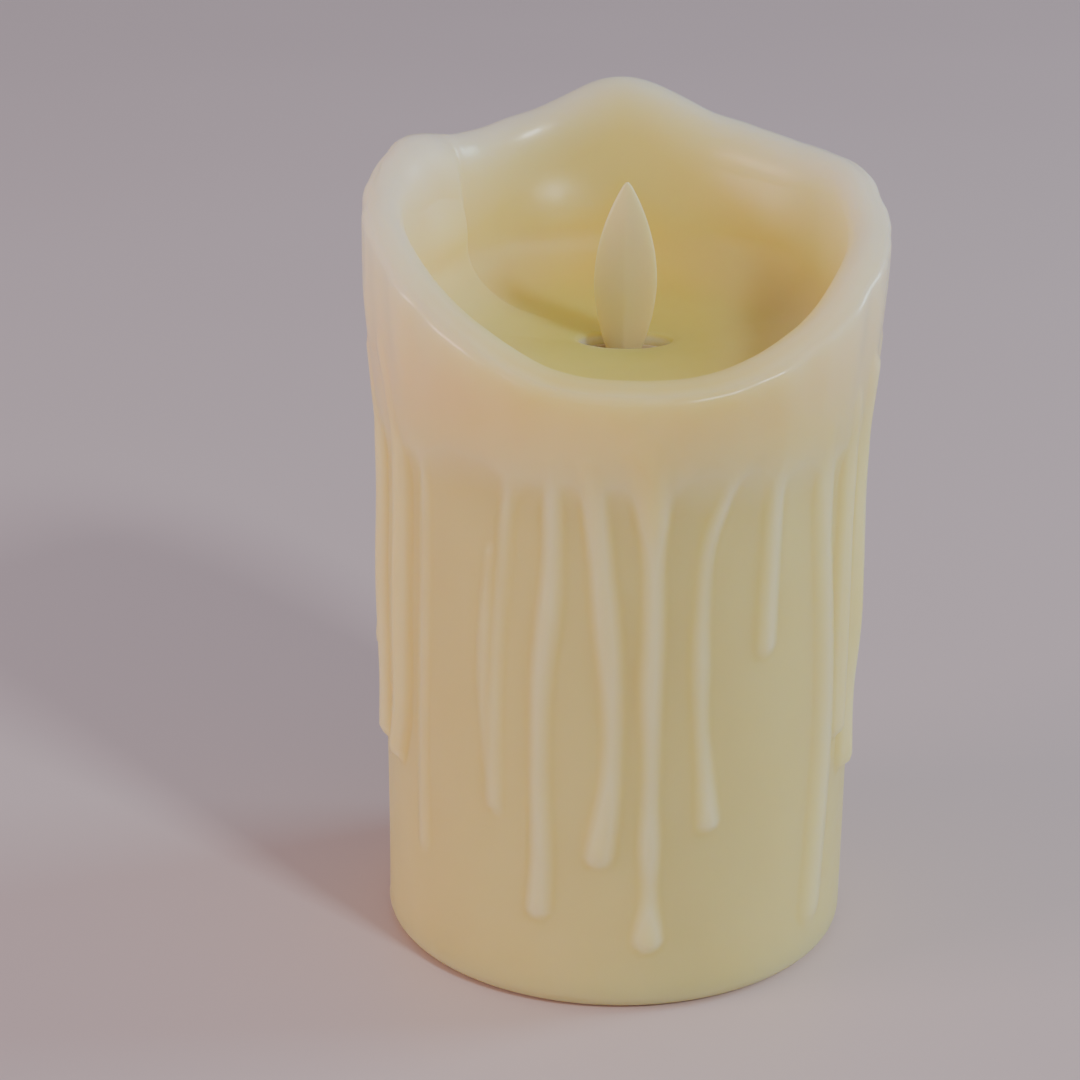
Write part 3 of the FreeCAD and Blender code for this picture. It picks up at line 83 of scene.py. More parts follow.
# Drips: share of a full bead's height, then points of bearing, height and half width down to the lower end.
DRIPS = [
    (1.1, [(200, 101, 1.6), (205, 90, 1.7), (207, 80, 2.0), (206, 60, 2.3), (205.5, 43, 2.2),
           (202.6, 34.6, 2.2)]),
    (1.0, [(188, 98, 1.8), (190, 80, 1.9), (189, 60, 2.1), (190, 45, 1.9), (190, 34.6, 2.1)]),
    (0.45, [(217, 92, 1.2), (216, 60, 1.4), (215, 38, 1.3), (215.5, 21.5, 1.6)]),
    (0.6, [(237, 74, 0.8), (236, 60, 1.3), (236.5, 45, 1.0), (239.6, 32.5, 1.1)]),
    (0.6, [(243.4, 90, 1.4), (241.6, 80, 1.3), (239.6, 62, 1.2), (238.6, 45, 1.3), (238.8, 33.5, 1.5)]),
    (0.8, [(252.7, 90, 1.5), (252.9, 75, 1.7), (252.2, 66, 2.0), (250.5, 55, 1.8),
           (250.3, 39, 1.7), (251, 26, 1.8), (250.4, 17.2, 2.0)]),
    (0.9, [(261, 90, 2.0), (263.6, 77, 1.9), (265.6, 64, 2.2), (267, 54, 1.9),
           (267.4, 45, 1.6), (266.6, 36, 1.9), (264.7, 27.2, 2.3)]),
    (0.95, [(273.8, 92, 5.0), (275.2, 84, 3.0), (275.9, 76, 1.8), (276.2, 63, 1.75), (275.9, 54, 1.8),
            (276.3, 44, 1.4), (276.3, 36, 1.4), (276.4, 28, 1.8), (276.7, 21, 1.2), (276.6, 12.9, 2.5)]),
    (0.9, [(294.4, 88, 1.3), (291.2, 82.5, 1.2), (288.2, 76, 1.1), (287.3, 66, 1.2), (287.4, 58, 1.5),
           (287.9, 49, 1.2), (289.4, 39, 1.5), (290.4, 32, 2.0)]),
    (0.75, [(305.6, 93, 1.4), (305.2, 80, 1.5), (304.7, 68, 1.7), (304.5, 59.5, 1.9)]),
    (0.5, [(321, 92, 2.6), (323, 74, 2.6), (326, 58, 2.9), (327.4, 42, 3.0),
           (326.4, 24, 3.2), (325.2, 10.5, 3.4)]),
    (1.0, [(333, 94, 2.0), (333.4, 74, 2.0), (333, 56, 2.2), (333.6, 40, 2.1)]),
    (1.1, [(341, 98, 2.3), (341.6, 78, 2.1), (341.2, 58, 2.4), (340.4, 44, 1.9), (340, 33, 2.3)]),
    (0.9, [(352, 100, 1.8), (352.5, 80, 1.6), (351.8, 62, 2.0)]),
    (0.9, [(8, 92, 1.5), (9.5, 74, 1.5), (8.6, 56, 1.9)]),
    (1.0, [(23, 93, 2.2), (21.5, 78, 1.7), (20.6, 62, 1.9), (22.4, 48, 1.5), (22.2, 39, 2.2)]),
    (0.8, [(36, 90, 1.4), (37.4, 78, 1.2), (37, 68, 1.7)]),
    (1.0, [(52, 92, 2.4), (54.4, 79, 1.6), (55, 62, 1.8), (53.2, 45, 1.4), (51.2, 33, 1.4), (51, 22, 2.2)]),
    (0.8, [(70, 90, 1.3), (68.6, 74, 1.2), (69.4, 60, 1.4), (69, 49, 1.8)]),
    (1.0, [(85, 93, 4.0), (84, 83, 2.2), (82.4, 68, 1.9), (83, 54, 1.5), (85.4, 41, 1.7), (86, 33, 2.4)]),
    (0.8, [(101, 91, 1.4), (102.6, 80, 1.3), (102, 70, 1.8)]),
    (0.9, [(118, 92, 1.9), (120.6, 79, 1.5), (121, 68, 1.8), (118.2, 59, 1.6), (116.4, 52, 2.1)]),
    (0.8, [(134, 90, 1.2), (133, 74, 1.2), (134.4, 56, 1.3), (134, 44, 1.6)]),
    (1.0, [(150, 94, 3.0), (149, 84, 2.0), (147.4, 67, 1.9), (147, 52, 1.6), (149.6, 37, 1.6), (151, 24, 1.6),
           (150.8, 15.5, 2.3)]),
    (0.8, [(166, 92, 1.6), (167.6, 76, 1.4), (166.6, 62, 1.9)]),
    (1.0, [(177, 96, 2.0), (178, 80, 1.7), (179.4, 66, 2.0), (178.6, 56, 1.7), (179.4, 47, 2.2)]),
]

SHELL_COLOUR = (0.87, 0.675, 0.27)
# Paler bead crowns: partly the thicker wax, partly painted sheen.
BEAD_AND_SHEEN_COLOUR = (0.88, 0.72, 0.37)
COAT_COLOUR = (0.81, 0.635, 0.25)
# Painted sheen: the paler colour the rim and the upper sides take where light falls on them.
RIM_SHEEN_COLOUR = (0.87, 0.78, 0.62)
WALL_COLOUR = (0.80, 0.68, 0.27)
# Painted light: the deeper yellow that light bounced inside the pool and passed through the wax would give
# it.
POOL_BOUNCE_COLOUR = (0.90, 0.67, 0.14)
HOLE_COLOUR = (0.88, 0.73, 0.45)

BEARINGS = 480
OUTER_ROWS = 104


# ---------------------------------------------------------------- helpers

def smooth_step(low, high, values):
    share = np.clip((values - low) / (high - low), 0.0, 1.0)
    return share * share * (3.0 - 2.0 * share)


def closed_curve(points, bearings):
    """Smooth closed curve through (bearing, value) points, at the given bearings in degrees."""
    knots = np.array([bearing for bearing, _ in points], float)
    heights = np.array([height for _, height in points], float)
    knots = np.concatenate([knots[-2:] - 360, knots, knots[:2] + 360])
    heights = np.concatenate([heights[-2:], heights, heights[:2]])
    slopes = np.gradient(heights, knots)
    place = np.clip(np.searchsorted(knots, bearings, side="right") - 1, 0, len(knots) - 2)
    width = knots[place + 1] - knots[place]
    t = (bearings - knots[place]) / width
    return ((2 * t ** 3 - 3 * t ** 2 + 1) * heights[place] + (t ** 3 - 2 * t ** 2 + t) * width * slopes[place]
            + (3 * t ** 2 - 2 * t ** 3) * heights[place + 1] + (t ** 3 - t ** 2) * width * slopes[place + 1])


def open_curve(points, steps):
    """A smooth line through points of any width, sampled evenly by knot."""
    points = np.array(points, float)
    padded = np.concatenate([2 * points[:1] - points[1:2], points, 2 * points[-1:] - points[-2:-1]])
    samples = []
    for number in range(len(points) - 1):
        before, start, end, after = padded[number:number + 4]
        for t in np.linspace(0, 1, steps, endpoint=False):
            bend = 2 * before - 5 * start + 4 * end - after
            twist = 3 * start - before - 3 * end + after
            samples.append(0.5 * (2 * start + (end - before) * t + bend * t ** 2 + twist * t ** 3))
    samples.append(points[-1])
    return np.array(samples)


def smooth_union(first, second, reach):
    """The smaller of two distance fields, blended where they come within reach of each other."""
    blend = np.clip(0.5 + 0.5 * (second - first) / reach, 0.0, 1.0)
    return second * (1 - blend) + first * blend - reach * blend * (1 - blend)


def new_object(name, vertices, faces, smooth=True):
    mesh = bpy.data.meshes.new(name)
    mesh.from_pydata([tuple(vertex) for vertex in vertices], [], faces)
    mesh.validate()
    mesh.update()
    obj = bpy.data.objects.new(name, mesh)
    scene.collection.objects.link(obj)
    if smooth:
        mesh.shade_smooth()
    return obj


# ---------------------------------------------------------------- materials

def start_material(name):
    material = bpy.data.materials.new(name)
    material.use_nodes = True
    nodes = material.node_tree.nodes
    return material, nodes, material.node_tree.links, nodes["Principled BSDF"]


def add_noise(nodes, links, source, scale, detail=3.0, roughness=0.5, stretch=None):
    noise = nodes.new("ShaderNodeTexNoise")
    noise.inputs["Scale"].default_value = scale
    noise.inputs["Detail"].default_value = detail
    noise.inputs["Roughness"].default_value = roughness
    if stretch:
        mapping = nodes.new("ShaderNodeMapping")
        mapping.inputs["Scale"].default_value = stretch
        links.new(source, mapping.inputs["Vector"])
        source = mapping.outputs["Vector"]
    links.new(source, noise.inputs["Vector"])
    return noise.outputs["Fac"]


def ramp(nodes, links, value, stops):
    """Colour ramp from (position, colour) stops."""
    node = nodes.new("ShaderNodeValToRGB")
    elements = node.color_ramp.elements
    while len(elements) < len(stops):
        elements.new(0.5)
    for element, (position, colour) in zip(elements, stops):
        element.position = position
        element.color = (*colour, 1.0)
    links.new(value, node.inputs["Fac"])
    return node.outputs["Color"]


def blend(nodes, links, share, first, second):
    """Goes from the first colour to the second, a socket or a plain colour, as share goes to 1."""
    node = nodes.new("ShaderNodeMix")
    node.data_type = "RGBA"
    links.new(share, node.inputs["Factor"])
    links.new(first, node.inputs["A"])
    if isinstance(second, tuple):
        node.inputs["B"].default_value = (*second, 1.0)
    else:
        links.new(second, node.inputs["B"])
    return node.outputs["Result"]


def map_range(nodes, links, value, low, high, out_low, out_high):
    node = nodes.new("ShaderNodeMapRange")
    for socket, number in (("From Min", low), ("From Max", high), ("To Min", out_low), ("To Max", out_high)):
        node.inputs[socket].default_value = number
    links.new(value, node.inputs["Value"])
    return node.outputs["Result"]


def add_bump(nodes, links, shader, height, distance):
    bump = nodes.new("ShaderNodeBump")
    bump.inputs["Distance"].default_value = distance
    links.new(height, bump.inputs["Height"])
    links.new(bump.outputs["Normal"], shader.inputs["Normal"])


def shade(colour, factor):
    return tuple(min(1.0, channel * factor) for channel in colour)


def moulded(name, colour, roughness=0.45, grain=0.00003, grain_scale=2600.0, soft=0.0):
    """Moulded plastic: faint mottling, a fine eroded grain and uneven gloss."""
    material, nodes, links, shader = start_material(name)
    coords = nodes.new("ShaderNodeTexCoord").outputs["Object"]
    clouds = add_noise(nodes, links, coords, 70.0, 4.0)
    links.new(ramp(nodes, links, clouds, [(0.3, shade(colour, 0.93)), (0.7, shade(colour, 1.05))]),
              shader.inputs["Base Color"])
    links.new(map_range(nodes, links, clouds, 0.3, 0.7, roughness - 0.06, roughness + 0.08),
              shader.inputs["Roughness"])
    fine = add_noise(nodes, links, coords, grain_scale, 2.0)
    add_bump(nodes, links, shader, fine, grain)
    if soft:
        shader.inputs["Subsurface Weight"].default_value = soft
        shader.inputs["Subsurface Radius"].default_value = (1.0, 0.8, 0.6)
        shader.inputs["Subsurface Scale"].default_value = 0.0015
    return material


def metal(name, colour, roughness=0.3, stretch=(1.0, 1.0, 12.0), scale=900.0):
    """Plated or drawn metal: streaks along one axis in gloss and height."""
    material, nodes, links, shader = start_material(name)
    coords = nodes.new("ShaderNodeTexCoord").outputs["Object"]
    streaks = add_noise(nodes, links, coords, scale, 3.0, 0.6, stretch)
    links.new(ramp(nodes, links, streaks, [(0.3, shade(colour, 0.82)), (0.7, shade(colour, 1.08))]),
              shader.inputs["Base Color"])
    links.new(map_range(nodes, links, streaks, 0.3, 0.7, roughness - 0.08, roughness + 0.12),
              shader.inputs["Roughness"])
    shader.inputs["Metallic"].default_value = 1.0
    add_bump(nodes, links, shader, streaks, 0.000008)
    return material


# Zones of the wax, in metres: spans of radius, of height, and of lifted height, which is the height plus
# SIDE_LIFT of the distance to either side, so that the painted sheen reaches further down at the sides.
SIDE_LIFT = 0.6
COAT_RADII = (0.0375, 0.0398)
RIM_RADII = (0.0345, 0.0365)
GLAZE_RADII = (0.0348, 0.0362)
# The next two spans place painted light: sheen on the outside near the rim, and inside the painted pool
# yellow rising to painted sheen at the top.
RIM_SHEEN_HEIGHTS = (0.108, 0.142)
WALL_HEIGHTS = (0.105, 0.141)
GLAZE_HEIGHTS = (0.108, 0.122)
POOL_HEIGHTS = (0.100, 0.112)
SLOT_HEIGHTS = (0.0966, 0.0974)
# A low end of 0.27 leaves faint patches in the denoised picture.
WAX_ROUGHNESS = (0.29, 0.37)
POOL_DULLNESS = 0.32
GLAZE_WEIGHT = 0.5


def make_wax():
    """Ivory wax, yellower in the bare shell. Painted bounced light deepens the pool's yellow, painted sheen
    pales the rim and sides, and the beads are paler from thicker wax and painted sheen.
    """
    material, nodes, links, shader = start_material("ivory_wax")
    coords = nodes.new("ShaderNodeTexCoord").outputs["Object"]
    clouds = add_noise(nodes, links, coords, 45.0, 3.0)
    mottle = add_noise(nodes, links, coords, 260.0, 1.0)
    runs = add_noise(nodes, links, coords, 110.0, 0.0, 0.5, (1.0, 1.0, 0.2))
    flat = nodes.new("ShaderNodeVectorMath")
    flat.operation = "MULTIPLY"
    flat.inputs[1].default_value = (1.0, 1.0, 0.0)
    links.new(coords, flat.inputs[0])
    radius = nodes.new("ShaderNodeVectorMath")
    radius.operation = "LENGTH"
    links.new(flat.outputs["Vector"], radius.inputs[0])
    split = nodes.new("ShaderNodeSeparateXYZ")
    links.new(coords, split.inputs["Vector"])
    thick = map_range(nodes, links, radius.outputs["Value"], *COAT_RADII, 0.0, 1.0)
    # Paler where the beads stand out: partly thicker wax, partly painted sheen on the crowns.
    outside = ramp(nodes, links, thick, [(0.0, SHELL_COLOUR), (0.45, BEAD_AND_SHEEN_COLOUR), (1.0, COAT_COLOUR)])
    across = nodes.new("ShaderNodeMath")
    across.operation = "ABSOLUTE"
    links.new(split.outputs["X"], across.inputs[0])
    lifted = nodes.new("ShaderNodeMath")
    lifted.operation = "MULTIPLY_ADD"
    links.new(across.outputs["Value"], lifted.inputs[0])
    lifted.inputs[1].default_value = SIDE_LIFT
    links.new(split.outputs["Z"], lifted.inputs[2])
    lifted = lifted.outputs["Value"]
    # Painted sheen: the outside turns paler towards the rim, reaching further down at the sides.
    rim_sheen = map_range(nodes, links, lifted, *RIM_SHEEN_HEIGHTS, 0.0, 1.0)
    outside = blend(nodes, links, rim_sheen, outside, RIM_SHEEN_COLOUR)
    # Inside: painted bounced light deepens the yellow towards the pool floor, and painted sheen pales the top
    # of the wall.
    depth = map_range(nodes, links, lifted, *WALL_HEIGHTS, 0.0, 1.0)
    inside = ramp(nodes, links, depth, [(0.0, POOL_BOUNCE_COLOUR), (0.3, WALL_COLOUR), (0.5, WALL_COLOUR),
                                        (1.0, RIM_SHEEN_COLOUR)])
    in_slot = map_range(nodes, links, split.outputs["Z"], *SLOT_HEIGHTS, 1.0, 0.0)
    inside = blend(nodes, links, in_slot, inside, HOLE_COLOUR)
    wall = map_range(nodes, links, radius.outputs["Value"], *RIM_RADII, 0.0, 1.0)
    tint = nodes.new("ShaderNodeMix")
    tint.data_type = "RGBA"
    tint.blend_type = "MULTIPLY"
    tint.inputs["Factor"].default_value = 1.0
    links.new(blend(nodes, links, wall, inside, outside), tint.inputs["A"])
    links.new(ramp(nodes, links, clouds, [(0.3, (0.97, 0.955, 0.93)), (0.7, (1.0, 1.0, 1.0))]),
              tint.inputs["B"])
    links.new(tint.outputs["Result"], shader.inputs["Base Color"])
    dull_inside = nodes.new("ShaderNodeMath")
    dull_inside.operation = "MULTIPLY"
    links.new(map_range(nodes, links, split.outputs["Z"], *POOL_HEIGHTS, POOL_DULLNESS, 0.0),
              dull_inside.inputs[0])
    links.new(map_range(nodes, links, wall, 0.0, 1.0, 1.0, 0.0), dull_inside.inputs[1])
    gloss = nodes.new("ShaderNodeMath")
    links.new(map_range(nodes, links, mottle, 0.3, 0.7, *WAX_ROUGHNESS), gloss.inputs[0])
    links.new(dull_inside.outputs["Value"], gloss.inputs[1])
    links.new(gloss.outputs["Value"], shader.inputs["Roughness"])
    shader.inputs["Subsurface Weight"].default_value = 1.0
    shader.inputs["Subsurface Radius"].default_value = (1.0, 0.8, 0.45)
    shader.inputs["Subsurface Scale"].default_value = 0.020
    shader.inputs["IOR"].default_value = 1.45
    glaze = nodes.new("ShaderNodeMath")
    glaze.operation = "MULTIPLY"
    links.new(map_range(nodes, links, lifted, *GLAZE_HEIGHTS, 0.0, GLAZE_WEIGHT), glaze.inputs[0])
    links.new(map_range(nodes, links, radius.outputs["Value"], *GLAZE_RADII, 0.0, 1.0), glaze.inputs[1])
    links.new(glaze.outputs["Value"], shader.inputs["Coat Weight"])
    shader.inputs["Coat Roughness"].default_value = 0.14
    shader.inputs["Coat IOR"].default_value = 1.45
    add_bump(nodes, links, shader, runs, 0.00015)
    return material


def make_flame():
    """Translucent warm-white moulding, frosted, a little deeper in tint at its foot."""
    material, nodes, links, shader = start_material("flame_moulding")
    coords = nodes.new("ShaderNodeTexCoord").outputs["Object"]
    split = nodes.new("ShaderNodeSeparateXYZ")
    links.new(coords, split.inputs["Vector"])
    up = map_range(nodes, links, split.outputs["Z"], 0.092, 0.122, 0.0, 1.0)
    tints = [(0.0, (0.70, 0.61, 0.32)), (0.35, (0.69, 0.635, 0.29)), (1.0, (0.75, 0.70, 0.39))]
    links.new(ramp(nodes, links, up, tints), shader.inputs["Base Color"])
    grain = add_noise(nodes, links, coords, 1500.0, 3.0)
    links.new(map_range(nodes, links, grain, 0.3, 0.7, 0.34, 0.46), shader.inputs["Roughness"])
    shader.inputs["Subsurface Weight"].default_value = 1.0
    shader.inputs["Subsurface Radius"].default_value = (1.0, 0.8, 0.5)
    shader.inputs["Subsurface Scale"].default_value = 0.002
    add_bump(nodes, links, shader, grain, 0.00002)
    return material


def make_winding():
    """Enamelled copper wire laid side by side round the bobbin."""
    material, nodes, links, shader = start_material("copper_winding")
    coords = nodes.new("ShaderNodeTexCoord").outputs["Object"]
    turns = nodes.new("ShaderNodeTexWave")
    turns.wave_type = "BANDS"
    turns.bands_direction = "Z"
    turns.inputs["Scale"].default_value = 1100.0
    turns.inputs["Distortion"].default_value = 0.6
    turns.inputs["Detail Scale"].default_value = 0.5
    links.new(coords, turns.inputs["Vector"])
    enamel = [(0.0, (0.28, 0.10, 0.04)), (0.6, (0.78, 0.36, 0.16))]
    links.new(ramp(nodes, links, turns.outputs["Fac"], enamel), shader.inputs["Base Color"])
    shader.inputs["Metallic"].default_value = 0.85
    shader.inputs["Roughness"].default_value = 0.28
    shader.inputs["Coat Weight"].default_value = 0.5
    add_bump(nodes, links, shader, turns.outputs["Fac"], 0.00008)
    return material


def make_circuit_board():
    """Green solder mask over faint copper tracks."""
    material, nodes, links, shader = start_material("solder_mask")
    coords = nodes.new("ShaderNodeTexCoord").outputs["Object"]
    tracks = nodes.new("ShaderNodeTexBrick")
    tracks.inputs["Scale"].default_value = 260.0
    tracks.inputs["Mortar Size"].default_value = 0.09
    tracks.inputs["Color1"].default_value = (0.03, 0.19, 0.07, 1)
    tracks.inputs["Color2"].default_value = (0.04, 0.23, 0.09, 1)
    tracks.inputs["Mortar"].default_value = (0.09, 0.34, 0.13, 1)
    turned = nodes.new("ShaderNodeMapping")
    turned.inputs["Rotation"].default_value = (0.0, math.radians(90), 0.0)
    links.new(coords, turned.inputs["Vector"])
    links.new(turned.outputs["Vector"], tracks.inputs["Vector"])
    links.new(tracks.outputs["Color"], shader.inputs["Base Color"])
    grain = add_noise(nodes, links, coords, 1200.0)
    links.new(map_range(nodes, links, grain, 0.3, 0.7, 0.25, 0.40), shader.inputs["Roughness"])
    add_bump(nodes, links, shader, tracks.outputs["Fac"], 0.00003)
    return material


def make_cell_jacket(name, negative_x, positive_x):
    """A cell along X: steel ends, a green jacket and a pale band before the positive end."""
    material, nodes, links, shader = start_material(name)
    coords = nodes.new("ShaderNodeTexCoord").outputs["Object"]
    split = nodes.new("ShaderNodeSeparateXYZ")
    links.new(coords, split.inputs["Vector"])
    along = map_range(nodes, links, split.outputs["X"], negative_x, positive_x, 0.0, 1.0)
    steel, green, dark, pale = (0.62, 0.61, 0.58), (0.07, 0.25, 0.14), (0.03, 0.07, 0.05), (0.75, 0.68, 0.42)
    colour = nodes.new("ShaderNodeValToRGB")
    colour.color_ramp.interpolation = "CONSTANT"
    stops = [(0.0, steel), (0.012, dark), (0.10, green), (0.72, pale), (0.86, dark), (0.972, steel)]
    elements = colour.color_ramp.elements
    while len(elements) < len(stops):
        elements.new(0.5)
    for element, (position, tint) in zip(elements, stops):
        element.position = position
        element.color = (*tint, 1.0)
    links.new(along, colour.inputs["Fac"])
    scuffs = add_noise(nodes, links, coords, 700.0, 4.0, 0.6, (0.2, 1.0, 1.0))
    mix = nodes.new("ShaderNodeMix")
    mix.data_type = "RGBA"
    mix.blend_type = "MULTIPLY"
    mix.inputs["Factor"].default_value = 1.0
    links.new(colour.outputs["Color"], mix.inputs["A"])
    links.new(ramp(nodes, links, scuffs, [(0.25, (0.86, 0.86, 0.86)), (0.6, (1.0, 1.0, 1.0))]),
              mix.inputs["B"])
    links.new(mix.outputs["Result"], shader.inputs["Base Color"])
    bare = nodes.new("ShaderNodeMath")
    bare.operation = "COMPARE"
    bare.inputs[1].default_value = 0.492
    bare.inputs[2].default_value = 0.480
    links.new(along, bare.inputs[0])
    links.new(map_range(nodes, links, bare.outputs["Value"], 0.0, 1.0, 1.0, 0.25), shader.inputs["Metallic"])
    links.new(map_range(nodes, links, scuffs, 0.3, 0.7, 0.22, 0.36), shader.inputs["Roughness"])
    add_bump(nodes, links, shader, scuffs, 0.00001)
    return material


def insulation(name, colour):
    """Smooth wire insulation with faint smears."""
    material, nodes, links, shader = start_material(name)
    coords = nodes.new("ShaderNodeTexCoord").outputs["Object"]
    smears = add_noise(nodes, links, coords, 500.0, 3.0)
    links.new(ramp(nodes, links, smears, [(0.3, shade(colour, 0.8)), (0.7, shade(colour, 1.15))]),
              shader.inputs["Base Color"])
    links.new(map_range(nodes, links, smears, 0.3, 0.7, 0.35, 0.5), shader.inputs["Roughness"])
    add_bump(nodes, links, shader, smears, 0.00002)
    return material


def make_floor():
    material, nodes, links, shader = start_material("pale_floor")
    coords = nodes.new("ShaderNodeTexCoord").outputs["Object"]
    clouds = add_noise(nodes, links, coords, 3.0, 2.0)
    links.new(ramp(nodes, links, clouds, [(0.3, (0.60, 0.515, 0.555)), (0.7, (0.63, 0.545, 0.585))]),
              shader.inputs["Base Color"])
    shader.inputs["Roughness"].default_value = 0.42
    return material


# ---------------------------------------------------------------- wax shell

def coat_and_drips(bearings, heights):
    """How far the poured wax stands out from the bare shell, at arrays of bearing and height."""
    hem = (HEM_HEIGHT + 1.1 * np.sin(np.radians(bearings * 5 + 40))
           + 0.8 * np.sin(np.radians(bearings * 11 + 100)) + 0.5 * np.sin(np.radians(bearings * 23)))
    nearest_bead = np.full(bearings.shape, 1e3)
    tallest = np.zeros(bearings.shape)
    for share_of_height, drip in DRIPS:
        line = open_curve(drip, 5)
        along = np.radians((bearings[..., None] - line[:, 0] + 180) % 360 - 180) * SHELL_RADIUS
        rise = heights[..., None] - line[:, 1]
        start_x, start_z = along[..., :-1], rise[..., :-1]
        step_x = np.radians(np.diff(line[:, 0])) * SHELL_RADIUS
        step_z = np.diff(line[:, 1])
        share = np.clip((start_x * step_x + start_z * step_z) / (step_x ** 2 + step_z ** 2), 0, 1)
        width = line[:-1, 2] + share * np.diff(line[:, 2])
        distance = np.hypot(start_x - share * step_x, start_z - share * step_z) - width - BEAD_FOOT
        nearest = np.argmin(distance, axis=-1)[..., None]
        distance = np.take_along_axis(distance, nearest, -1)[..., 0]
        width = np.take_along_axis(width, nearest, -1)[..., 0]
        part_way = np.clip(-distance / (width + BEAD_FOOT), 0, 1)
        crown = share_of_height * np.minimum(0.66 * width ** 1.3, BEAD_CROWN_LIMIT)
        tallest = (tallest ** 4 + (crown * (part_way ** 2 * (3 - 2 * part_way)) ** 0.72) ** 4) ** 0.25
        nearest_bead = smooth_union(nearest_bead, distance, 1.0)
    edge = smooth_union(nearest_bead, hem - heights, 5.0)
    lip = HEM_LIP * smooth_step(0.0, 1.8, -edge) * smooth_step(HEM_HEIGHT - 14, HEM_HEIGHT - 2, heights)
    coat = COAT_THICKNESS * smooth_step(HEM_HEIGHT - 7, HEM_HEIGHT + 5, heights)
    swell = 1.5 * smooth_step(HEM_HEIGHT - 1, 113, heights) - 0.6 * smooth_step(115, 131, heights)
    return (tallest ** 3 + coat ** 3) ** (1 / 3) + lip + swell


def outer_radius(bearings, heights):
    waves = (0.10 * np.sin(np.radians(bearings * 3 + 20) + heights * 0.05)
             + 0.07 * np.sin(np.radians(bearings * 7 + 130) - heights * 0.09)
             + 0.04 * np.sin(np.radians(bearings * 17 + 10) + heights * 0.13))
    near_top = smooth_step(88, 104, heights)
    runs = near_top * (0.16 * np.sin(np.radians(bearings * 19 + 50))
                       + 0.12 * np.sin(np.radians(bearings * 31)))
    radius = SHELL_RADIUS - SHELL_INSET + waves + coat_and_drips(bearings, heights) + runs
    front = FRONT_LIMIT / np.maximum(0.01, -np.sin(np.radians(bearings)))
    return np.minimum(radius, np.minimum(front, OUTER_LIMIT))


def swell_at(turn, heights, bearing, level, spread, reach):
    """A soft hill of height 1 at a bearing and level."""
    return np.exp(-((turn - bearing) / spread) ** 2 - ((heights - level) / reach) ** 2)


def inner_radius(bearings, heights):
    """The melted wall round the pool: it flares, with a stepped lobe on the left and two soft swells."""
    up = np.clip((heights - POOL_FLOOR) / WALL_FLARE_HEIGHT, 0, 1.2)
    radius = WALL_LOW_RADIUS + (WALL_HIGH_RADIUS - WALL_LOW_RADIUS) * up
    turn = (bearings + 180) % 360 - 180
    lobe = smooth_step(138.5, 142.5, turn) * swell_at(turn, heights, 152, 109, 17, 7.0)
    bump_left = swell_at(turn, heights, 110, 109.5, 12, 5.5)
    bump_right = swell_at(turn, heights, 48, 111, 15, 7.5)
    waves = 0.25 * np.sin(np.radians(bearings * 4 + 60) + heights * 0.1) * smooth_step(100, 108, heights)
    return radius - 3.0 * lobe - 2.1 * bump_left - 1.5 * bump_right + waves


